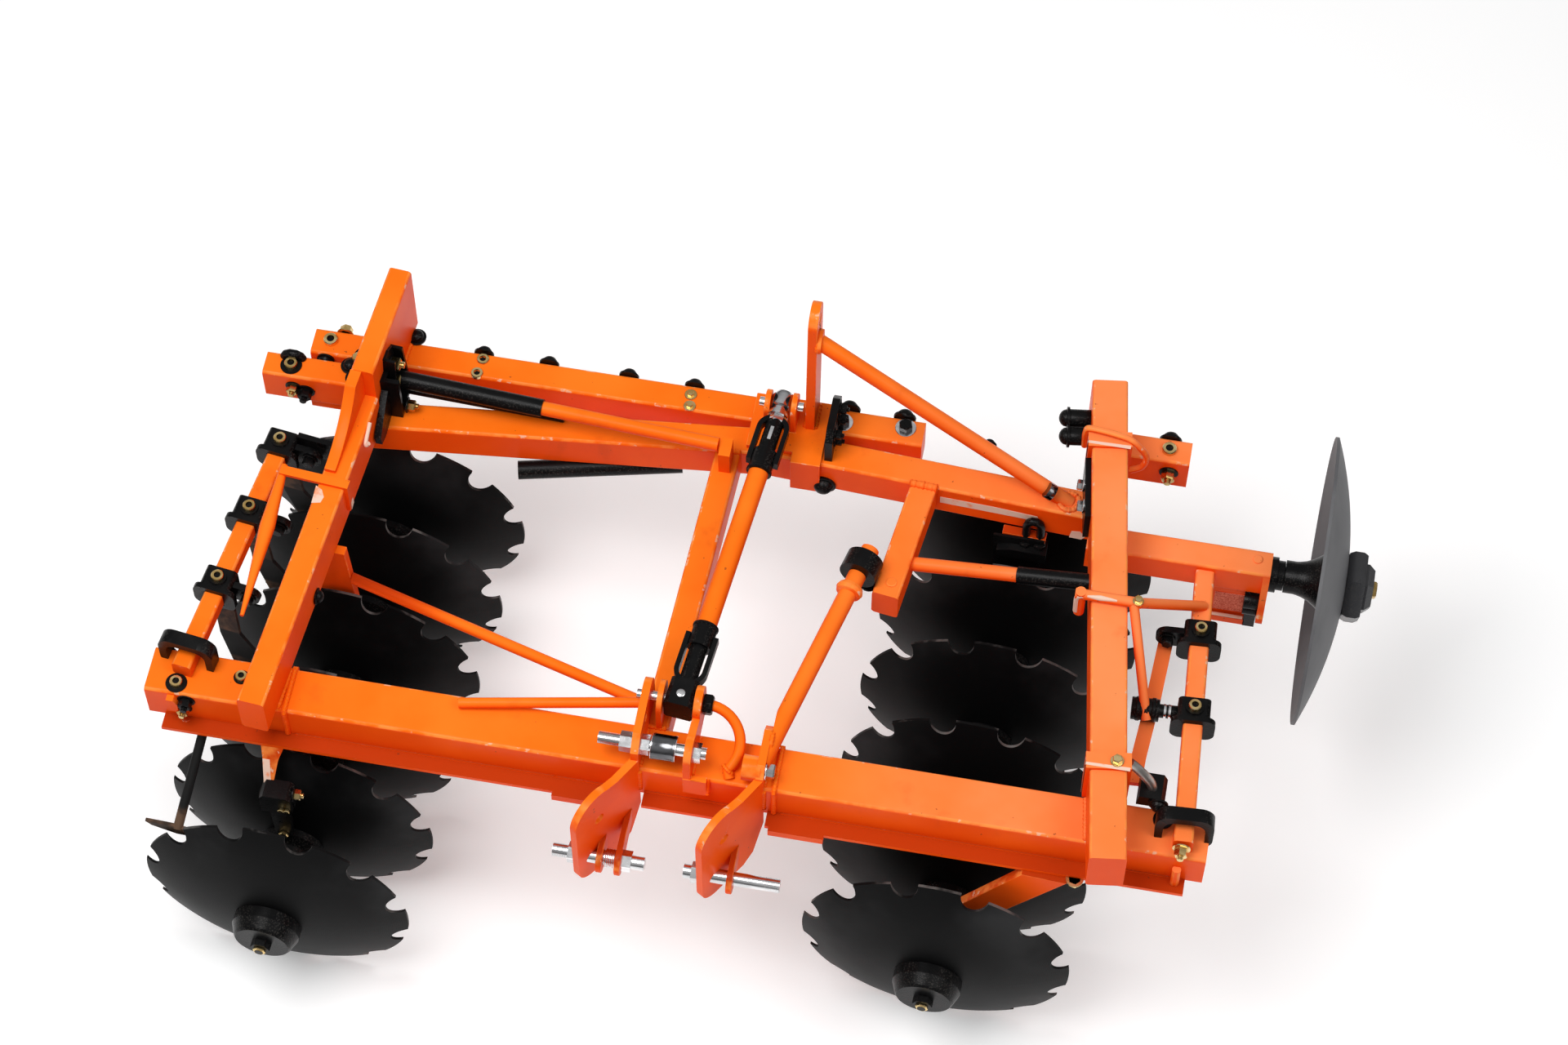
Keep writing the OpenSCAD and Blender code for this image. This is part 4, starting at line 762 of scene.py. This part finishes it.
def link_fixings():
    """Block and ear at the link's lower eye, bright knuckle at its upper one, rings on its tube."""
    group = "link_fixings"
    lower, upper = Vector((795, 340, FRAME_TOP + 70)), Vector((868, 1062, FRAME_TOP + 70))
    along = (upper - lower).normalized()
    block = [(-25, -30), (25, -30), (29, -24), (29, 22), (20, 31), (-20, 31), (-29, 22), (-29, -24)]
    work(group, DARK).plate(lower - along * 26, along.cross(UP), UP, block, -62)
    work(group, CHROME).turned(lower + UP * 31, UP, [(9, -1), (9, 1.2), (7.5, 2.2)])
    ear = [(-36, 0), (34, 0), (36, 70)]
    ear += [(36 * math.cos(t), 70 + 36 * math.sin(t)) for t in (0.4, 0.8, 1.2, 1.6, 2.0, 2.4, 2.8, 3.14)]
    work(group, PAINT).plate((750, 340, FRAME_TOP), BACK, UP, ear, 11)
    knuckle = [(12, -27), (20, -24), (24.6, -14), (24.6, 12)]
    knuckle += [(19, 15), (19, 22), (22, 23), (22, 33), (19, 34)]
    work(group, CHROME).turned(upper, -along, knuckle)
    hexagon(group, upper - along * 34, -along, 36, 16, CHROME)
    slot = [(-16, -3.5), (16, -3.5), (16, 3.5), (-16, 3.5)]
    work(group, CHROME).plate(lower.lerp(upper, 0.885) + UP * 17.2, along, UP.cross(along), slot, 1.4)
    for share in (0.232, 0.760):
        ring = [(25, 0), (27, 1.5), (27, 6), (25, 7.5)]
        work(group, DARK).turned(lower.lerp(upper, share), along, ring)


def splice_fixings():
    group = "splice_fixings"
    for y, rise in ((1012, 66), (1076, 66), (1020, 30), (1072, 30)):
        stud_nut(group, (988, y, FRAME_TOP + rise), RIGHT, 18, DARK)
    dome_head(group, (974, middle_beam_y(974) - MIDDLE_HALF, FRAME_TOP - 70), FRONT, 44)
    collar = [(26, 0), (27, 2), (26, 8), (20, 9)]
    work(group, PAINT).turned(BRACE_TOP + RIGHT * 0.5, RIGHT, collar)


def inner_arm_fixings():
    group = "inner_arm_fixings"
    work(group, PAINT).turned((1158, 722, FRAME_TOP), UP, [(11, 0), (11, 2), (9, 3.5)])
    stay_foot, stay_top = Vector((982, 272, FRAME_TOP + 44)), Vector((1104, 778, FRAME_TOP + 22))
    along = (stay_top - stay_foot).normalized()
    ring = stay_top - along * 108
    bulge = [(19, -11), (26, -8), (29, 0), (26, 8), (19, 11)]
    work(group, PAINT).turned(ring, along, bulge)
    collar = stay_top - along * 46
    dome_head(group, collar + Vector((18, -6, -46)), DOWN, 34)
    dome_head(group, collar + Vector((-10, -10, -48)), DOWN, 30)
    split = Vector((1447, 974.8, FRAME_TOP + 34.1))
    brace = (BRACE_FOOT - BRACE_TOP).normalized()
    band = [(17.2, -8), (17.6, -7), (17.6, 7), (17.2, 8)]
    work(group, CHROME, finish=DARK_BRIGHT).turned(split, brace, band)


def right_side_fixings():
    group = "right_side_fixings"
    stub_y = 1140
    ring_nut(group, (1676, stub_y, FRAME_TOP), UP, 30)
    stud_nut(group, (1682, stub_y - 29, FRAME_TOP - 40), FRONT, 26)
    dome_head(group, (1676, stub_y + 29, FRAME_TOP - 14), BACK, 40)
    for y in (935, 985):
        x = right_beam_x(y) - RIGHT_HALF - 12
        bolt_head(group, (x, y, FRAME_TOP + 62), LEFT, 20, CHROME, CHROME)
    for stop in ((1468, 1095, FRAME_TOP + 66), (1462, 1139, FRAME_TOP + 66)):
        dome_head(group, stop, RIGHT_BEAM_OUT, 40)
    work(group, PAINT).turned((1890, 911, FRAME_TOP), UP, [(10, 0), (10, 1.8), (8.5, 3)])
    rail_wear(group)
    wrap_y = 1065
    wrap_x = right_beam_x(wrap_y)
    wrap = [(-52, 1080, 764), (-52, 1079, 818), (-40, 1078, 836), (32, 1068, 836)]
    wrap += [(62, 1062, 816), (78, 1062, 784), (72, 1058, 752), (49, 1056, 734)]
    work(group, PAINT).swept(curve([(wrap_x + x, y, z) for x, y, z in wrap]), 7)
    lash = [(-30, 1082, 12), (10, 1078, 13), (46, 1070, 8), (64, 1066, -14)]
    lash = [(wrap_x + x, y, RIGHT_TOP + z) for x, y, z in lash]
    work(group, PAINT).swept(curve(lash), 4.5)
    bolt_head(group, (1669, 331, RIGHT_TOP + 8), UP, 18)
    tail_y = 336
    tail_x = right_beam_x(tail_y)
    tail = [(RIGHT_HALF + 6, 0, RIGHT_TOP), (62, -2, 800), (86, -6, 768), (96, -10, 742)]
    tail = [(tail_x + x, tail_y + y, z) for x, y, z in tail]
    work("strap_tail", CHROME, finish=BARE).swept(curve(tail), 10)
    block = [(-26, -16), (26, -16), (30, 0), (22, 18), (-22, 18)]
    work(group, DARK).plate((tail_x + 92, tail_y + 22, 732), RIGHT, UP, block, 56)
    dome_head(group, (tail_x + 110, tail_y - 34, 734), FRONT, 34)


def rail_wear(group):
    """Rubbed stretches along the rod over the right beam and the bolt where its branch leaves."""
    rod_y, rod_z = 690, RIGHT_TOP + 11.3
    left = right_beam_x(rod_y) - RIGHT_HALF - 22
    rub = 5.9
    drop = [(left - rub, rod_z - 58), (left - rub, rod_z - 6), (left + 4, rod_z + rub)]
    drop = [(x, rod_y - rub, z) for x, z in drop]
    work("rail_wear", PAINT, finish=PRIMER).swept(curve(drop), 6)
    over = [(left + x, rod_y - rub, rod_z + rub) for x in (14, 40, 74)]
    work("rail_wear", PAINT, finish=PRIMER).swept(over, [3, 6, 3])
    bolt_head(group, (1661, 688, rod_z + 10), UP, 15)


def strap_wear():
    """Rubbed tops and edges of the straps over the gang beams."""
    group = "strap_wear"
    for y in (330, 1065):
        x = right_beam_x(y)
        top = [(-RIGHT_HALF - 7, -17), (RIGHT_HALF + 7, -17), (RIGHT_HALF + 7, -9), (-RIGHT_HALF - 7, -11)]
        work(group, PAINT, finish=PRIMER).plate((x, y, RIGHT_TOP + 8), RIGHT, BACK, top, 0.5)
        drop = FRAME_TOP - RIGHT_TOP + 4
        edge = [(0, drop), (30, drop), (30, 4), (0, 4)]
        corner = (x - RIGHT_HALF - 8.2, y - 15, RIGHT_TOP)
        work(group, PAINT, finish=PRIMER).plate(corner, BACK, UP, edge, -0.5)
    leg_y = 685
    leg_x = left_beam_x(leg_y) + LEFT_HALF + 8.2
    foot = [(0, 0), (18, 0), (16, 24), (2, 22)]
    work(group, PAINT, finish=PRIMER).plate((leg_x, leg_y - 9, LEFT_TOP - 80), BACK, UP, foot, 0.5)
    strip = [(0, 0), (214, 2), (206, 20), (112, 24), (0, 22)]
    face_y = middle_beam_y(1222) - MIDDLE_HALF - 0.4
    slope = Vector((1, (middle_beam_y(1372) - middle_beam_y(1222)) / 150, 0))
    work(group, PAINT, finish=PRIMER).plate((1222, face_y, FRAME_TOP - 52), slope, UP, strip, 0.6)
    smear = [(0, 0), (26, 0), (34, 14), (22, 30), (4, 26)]
    smear_y = middle_beam_y(1498) - MIDDLE_HALF - 0.4
    work(group, PAINT, finish=PRIMER).plate((1498, smear_y, FRAME_TOP - 88), slope, UP, smear, 0.6)
    scuff = [(-28, 0), (-10, 4), (-6, 18), (-14, 34), (-28, 42)]
    work(group, PAINT, finish=PRIMER).plate((left_beam_x(650), 631, LEFT_TOP), RIGHT, BACK, scuff, 0.5)


def arm_plate():
    """Plate under the side disc's arm: rough red undercoat, a rubbed bar along its foot and a black pad."""
    group = "arm_plate"
    front_y, pad_z = 880, 500
    plate = [(1800, 506), (1882, 506), (1882, 621), (1800, 621)]
    work(group, PAINT).plate((0, front_y + 10, 0), RIGHT, UP, plate, 10)
    rough = [(1815, 530), (1876, 530), (1876, 600), (1815, 600)]
    work("arm_undercoat", PAINT, finish=ROUGH_RED).plate((0, front_y, 0), RIGHT, UP, rough, 1.2)
    bar = [(1796, 502), (1884, 502), (1884, 522), (1796, 522)]
    work(group, PAINT).plate((0, front_y, 0), RIGHT, UP, bar, 14)
    rub = [(x, front_y - 9, z) for x, z in ((1812, 519), (1850, 519.5), (1880, 519))]
    work("arm_wear", PAINT, finish=PRIMER).swept(rub, 5)
    pad = [(1882, pad_z), (1906, pad_z), (1906, 612), (1898, 619), (1888, 619), (1882, 612)]
    work(group, DARK).plate((0, front_y + 8, 0), RIGHT, UP, pad, 22)
    bolt_head(group, (1806, front_y, 512), FRONT, 16)


def clamp_fixings():
    group = "clamp_fixings"
    for bar, spots in ((LEFT_BAR, LEFT_CLAMPS), (RIGHT_BAR, RIGHT_CLAMPS)):
        up = bar.to_3x3() @ UP
        for y in spots:
            ring_nut(group, bar @ Vector((0, y, PAD_TOP)), up, 26)
    for y in LEFT_CLAMPS:
        spot = LEFT_BAR @ Vector((65, y - 7, 20))
        bolt_head(group, spot, LEFT_BAR.to_3x3() @ FRONT, 22, DARK, DARK)
    spot = RIGHT_BAR @ Vector((-65, RIGHT_CLAMPS[1] - 7, 20))
    bolt_head(group, spot, RIGHT_BAR.to_3x3() @ FRONT, 22, DARK, DARK)
    neck = RIGHT_BAR @ Vector((-45, RIGHT_CLAMPS[0] + 5, 20))
    along = RIGHT_BAR.to_3x3() @ LEFT
    for start in (0, 10):
        ring = [(14.5, start), (15.5, start + 1), (15.5, start + 5), (14.5, start + 6)]
        work(group, CHROME).turned(neck, along, ring)
    roller = RIGHT_BAR @ Vector((-69, RIGHT_CLAMPS[0] + 5, 20))
    for start in (6, 22, 38):
        ring = [(23, start), (25, start + 2), (25, start + 8), (23, start + 10)]
        work(group, DARK).turned(roller, along, ring)


def bearing_fixings():
    """Bolts through the housings' side flanges and a grease point on each top."""
    group = "bearing_fixings"
    for gang, y in BEARINGS:
        for x in (-76, 76):
            stud_nut(group, gang @ Vector((x, y, 15)), UP, 20, GOLD, GOLD)
            bolt_head(group, gang @ Vector((x, y, -15)), DOWN, 20, GOLD, GOLD)
        hexagon(group, gang @ Vector((26, y - 22, 54)), UP, 12, 12)


def bearing_strap():
    """Bent strap bolt, plate and block under the middle beam at the rear right bearing."""
    group = "bearing_strap"
    x = 1412
    face_y = middle_beam_y(x) - MIDDLE_HALF
    foot = FRAME_TOP - 90
    loop_x, half = x + 12, 15
    bends = (3.14, 2.5, 1.9, 1.25, 0.6, 0)
    arch = [(loop_x + half * math.cos(a), face_y - 12, foot + 34 + 20 * math.sin(a)) for a in bends]
    ends = [(loop_x + side, face_y - 12, foot - 50) for side in (-half, half)]
    work(group, DARK).swept([ends[0], *arch, ends[1]], 9)
    cover = [(-66, -128), (34, -128), (38, -1), (-70, -1)]
    work(group, DARK).plate((x, face_y - 20, foot), RIGHT, UP, cover, 6)
    block = [(-60, -22), (44, -26), (44, 6), (-30, 10), (-60, 0)]
    work(group, DARK).plate((x, face_y - 2, foot - 34), RIGHT, UP, block, 40)
    for side in (-half, half):
        hexagon(group, (loop_x + side, face_y - 20, foot - 28), UP, 24, 14, DARK)


def gang_ends():
    """Plated nut on each axle's front tip."""
    for gang, body in ((LEFT_GANG, "left_gang"), (RIGHT_GANG, "right_gang")):
        tip = gang @ Vector((0, AXLE_TIP, 0))
        along = gang.to_3x3() @ FRONT
        hexagon(body + "_tip", tip, along, 24, 7, GOLD, body)


def side_hub_end():
    """Hex block, nose and plated nut outside the side disc; flared hub and axle spacer inside it."""
    low, high = reach("side_hub")
    tip = Vector((high.x, (low.y + high.y) / 2, (low.z + high.z) / 2))
    group = "side_wheel"
    corner = math.radians(8)
    block = [(74, -66), (79.5, -55), (79.5, -37), (74, -28)]
    # The hex block takes the lighter hub finish: a painted sheen on its facets
    work(group, DARK, "side_wheel", HUB_SHEEN_BLACK).turned(tip, RIGHT, block, 6, start=corner)
    nose = [(55, -29), (55, -22), (43, -9)]
    work(group, DARK, "side_wheel").turned(tip, RIGHT, nose, 6, start=corner)
    hexagon(group, tip + LEFT * 16, RIGHT, 32, 16, GOLD, "side_wheel")
    flare = [(33, -168), (34.2, -168), (35, -162), (38, -150), (44, -136), (52, -124), (60, -113)]
    flare += [(67, -106), (69, -102), (69, -90), (50, -84), (33, -84)]
    work("side_flare", DARK, "side_wheel").turned(tip, RIGHT, flare, 40, True)
    spacer = [(19.5, 13.5), (31, 13.5), (31, 28.5), (19.5, 28.5)]
    arm_end = Vector((reach("disc_arm")[1].x, tip.y, tip.z))
    work("axle_spacer", DARK).turned(arm_end, RIGHT, spacer, 40, True)


def frame_welds():
    top = FRAME_TOP
    for side in (-1, 1):
        weld([(left_beam_x(y) + side * LEFT_HALF, y, top) for y in (212, 306)])
        weld([(right_beam_x(y) + side * RIGHT_HALF, y, top) for y in (212, 306)])
        for x in (HITCH_LEFT, HITCH_CENTRE, HITCH_RIGHT):
            weld([(x + side * HITCH_HALF, 214, top), (x + side * HITCH_HALF, 302, top)], 5.5)
        weld([(930 + side * 10, 1050, top + 12), (930 + side * 10, 1114, top + 12)], 6)
        run = (884, 926) if side > 0 else (950, 1002)
        weld([(right_beam_x(y) + side * RIGHT_HALF, y, top) for y in run])
        for y0, y1 in ((990, 1040), (1060, 1114)):
            weld([(left_beam_x(y) + side * TOWER_HALF, y, top) for y in (y0, y1)])
    for x in (7, 1007):
        weld([(x, 304, top + 4.5), (x, 207, top + 4.5), (x, 203.5, top), (x, 203.5, NEAR_FOOT + 14)], 4.5)
    for x in (HITCH_LEFT, HITCH_RIGHT):
        weld([(x - 7, NEAR_FRONT, top - 4), (x - 7, NEAR_FRONT, NEAR_FOOT + 12)], 5.5)
        weld([(x + 8, NEAR_FRONT, top - 4), (x + 8, NEAR_FRONT, NEAR_FOOT + 12)], 5.5)
    weld([(HITCH_CENTRE + 42, 197, top - 40), (HITCH_CENTRE + 42, 208, top + 8)], 4)
    weld([(719, NEAR_BACK, top), (771, NEAR_BACK, top)])
    middle = [(x, middle_beam_y(x) - MIDDLE_HALF, top - 1) for x in (746, 798)]
    weld(middle)
    root = [(x, middle_beam_y(x) - MIDDLE_HALF, top - 1) for x in (1156, 1216)]
    weld(root, 9)
    weld([(right_beam_x(y) + RIGHT_HALF, y, top) for y in (1114, 1166)])
    weld([(left_beam_x(y) + LEFT_HALF, y, top) for y in (898, 960)])
    ring_weld((1488, 978, top), UP, 21, 6)
    ring_weld(BRACE_TOP + RIGHT, RIGHT, 21, 5)
    ring_weld((988, 290, top + 43), RIGHT, 22, 5)
    ring_weld((716, 340, top + 20), LEFT, 14, 4)
    ring_weld((717, 344, top + 36), LEFT, 13, 4)
    for x0, x1 in ((20, 560), (560, 690), (745, 940), (1020, 1600), (1710, 1830)):
        weld([(x, NEAR_FRONT, NEAR_FOOT + 10) for x in (x0, x1)], 3.2, "ledge_beads")


# Camera, light and floor

CAMERA_PLACE = Vector((0.7291, -3.9354, 7.9611))
CAMERA_PITCH = 59.464
CAMERA_YAW = -9.960
CAMERA_ROLL = 0.353
FOCAL_PIXELS = 5000
PHOTO_WIDTH = 1920
SENSOR_MM = 36


def make_camera():
    data = bpy.data.cameras.new("camera")
    data.sensor_width = SENSOR_MM
    data.lens = FOCAL_PIXELS / PHOTO_WIDTH * SENSOR_MM
    camera = bpy.data.objects.new("camera", data)
    turn = (
        Matrix.Rotation(math.radians(-CAMERA_YAW), 4, "Z")
        @ Matrix.Rotation(math.radians(90 - CAMERA_PITCH), 4, "X")
        @ Matrix.Rotation(math.radians(CAMERA_ROLL), 4, "Z")
    )
    camera.matrix_world = Matrix.Translation(CAMERA_PLACE) @ turn
    bpy.context.scene.collection.objects.link(camera)
    bpy.context.scene.camera = camera


def soft_light(name, place, target, size, power):
    data = bpy.data.lights.new(name, "AREA")
    data.shape = "DISK"
    data.size = size
    data.energy = power
    lamp = bpy.data.objects.new(name, data)
    lamp.location = place
    lamp.rotation_euler = (Vector(target) - Vector(place)).to_track_quat("-Z", "Y").to_euler()
    bpy.context.scene.collection.objects.link(lamp)


def make_sky():
    """A white tent: bright overhead, dim toward the horizon."""
    world = bpy.data.worlds.new("studio")
    world.use_nodes = True
    tree = world.node_tree
    place = tree.nodes.new("ShaderNodeTexCoord")
    split = tree.nodes.new("ShaderNodeSeparateXYZ")
    fade = tree.nodes.new("ShaderNodeMapRange")
    fade.interpolation_type = "SMOOTHSTEP"
    fade.inputs["From Min"].default_value = 0.05
    fade.inputs["From Max"].default_value = 0.85
    fade.inputs["To Min"].default_value = 0.10
    fade.inputs["To Max"].default_value = 0.54
    tree.links.new(place.outputs["Generated"], split.inputs[0])
    tree.links.new(split.outputs["Z"], fade.inputs["Value"])
    tree.links.new(fade.outputs[0], tree.nodes["Background"].inputs["Strength"])
    tree.nodes["Background"].inputs["Color"].default_value = (1, 1, 1, 1)
    bpy.context.scene.world = world


def make_studio():
    make_sky()
    bpy.context.scene.view_settings.view_transform = "Standard"
    middle = (0, 0, 0.4)
    soft_light("key", (-1.6, -1.2, 5.5), middle, 3.2, 185)
    soft_light("fill", (3.0, -1.0, 4.6), middle, 3.0, 60)
    paper = Finish(
        "pale_floor",
        Roughness=0.9,
        Specular_IOR_Level=0.1,
        Emission_Color=(1, 1, 1, 1),
        Emission_Strength=0.24,
    )
    paper.set(Base_Color=paper.mix(paper.noise(1.5), (0.90, 0.90, 0.90), (0.93, 0.93, 0.93)))
    mesh = bpy.data.meshes.new("floor")
    spread = 30
    corners = [(-spread, -spread, 0), (spread, -spread, 0), (spread, spread, 0), (-spread, spread, 0)]
    mesh.from_pydata(corners, [], [(0, 1, 2, 3)])
    mesh.materials.append(paper.material)
    floor = bpy.data.objects.new("floor", mesh)
    bpy.context.scene.collection.objects.link(floor)


dress_frame()
near_beam_fixings()
left_side_fixings()
channel_fixings()
front_standard()
rear_beam_fixings()
hitch_fixings()
bent_rod()
link_fixings()
splice_fixings()
inner_arm_fixings()
right_side_fixings()
strap_wear()
arm_plate()
clamp_fixings()
bearing_fixings()
bearing_strap()
gang_ends()
side_hub_end()
frame_welds()
clear_bench()
make_camera()
make_studio()
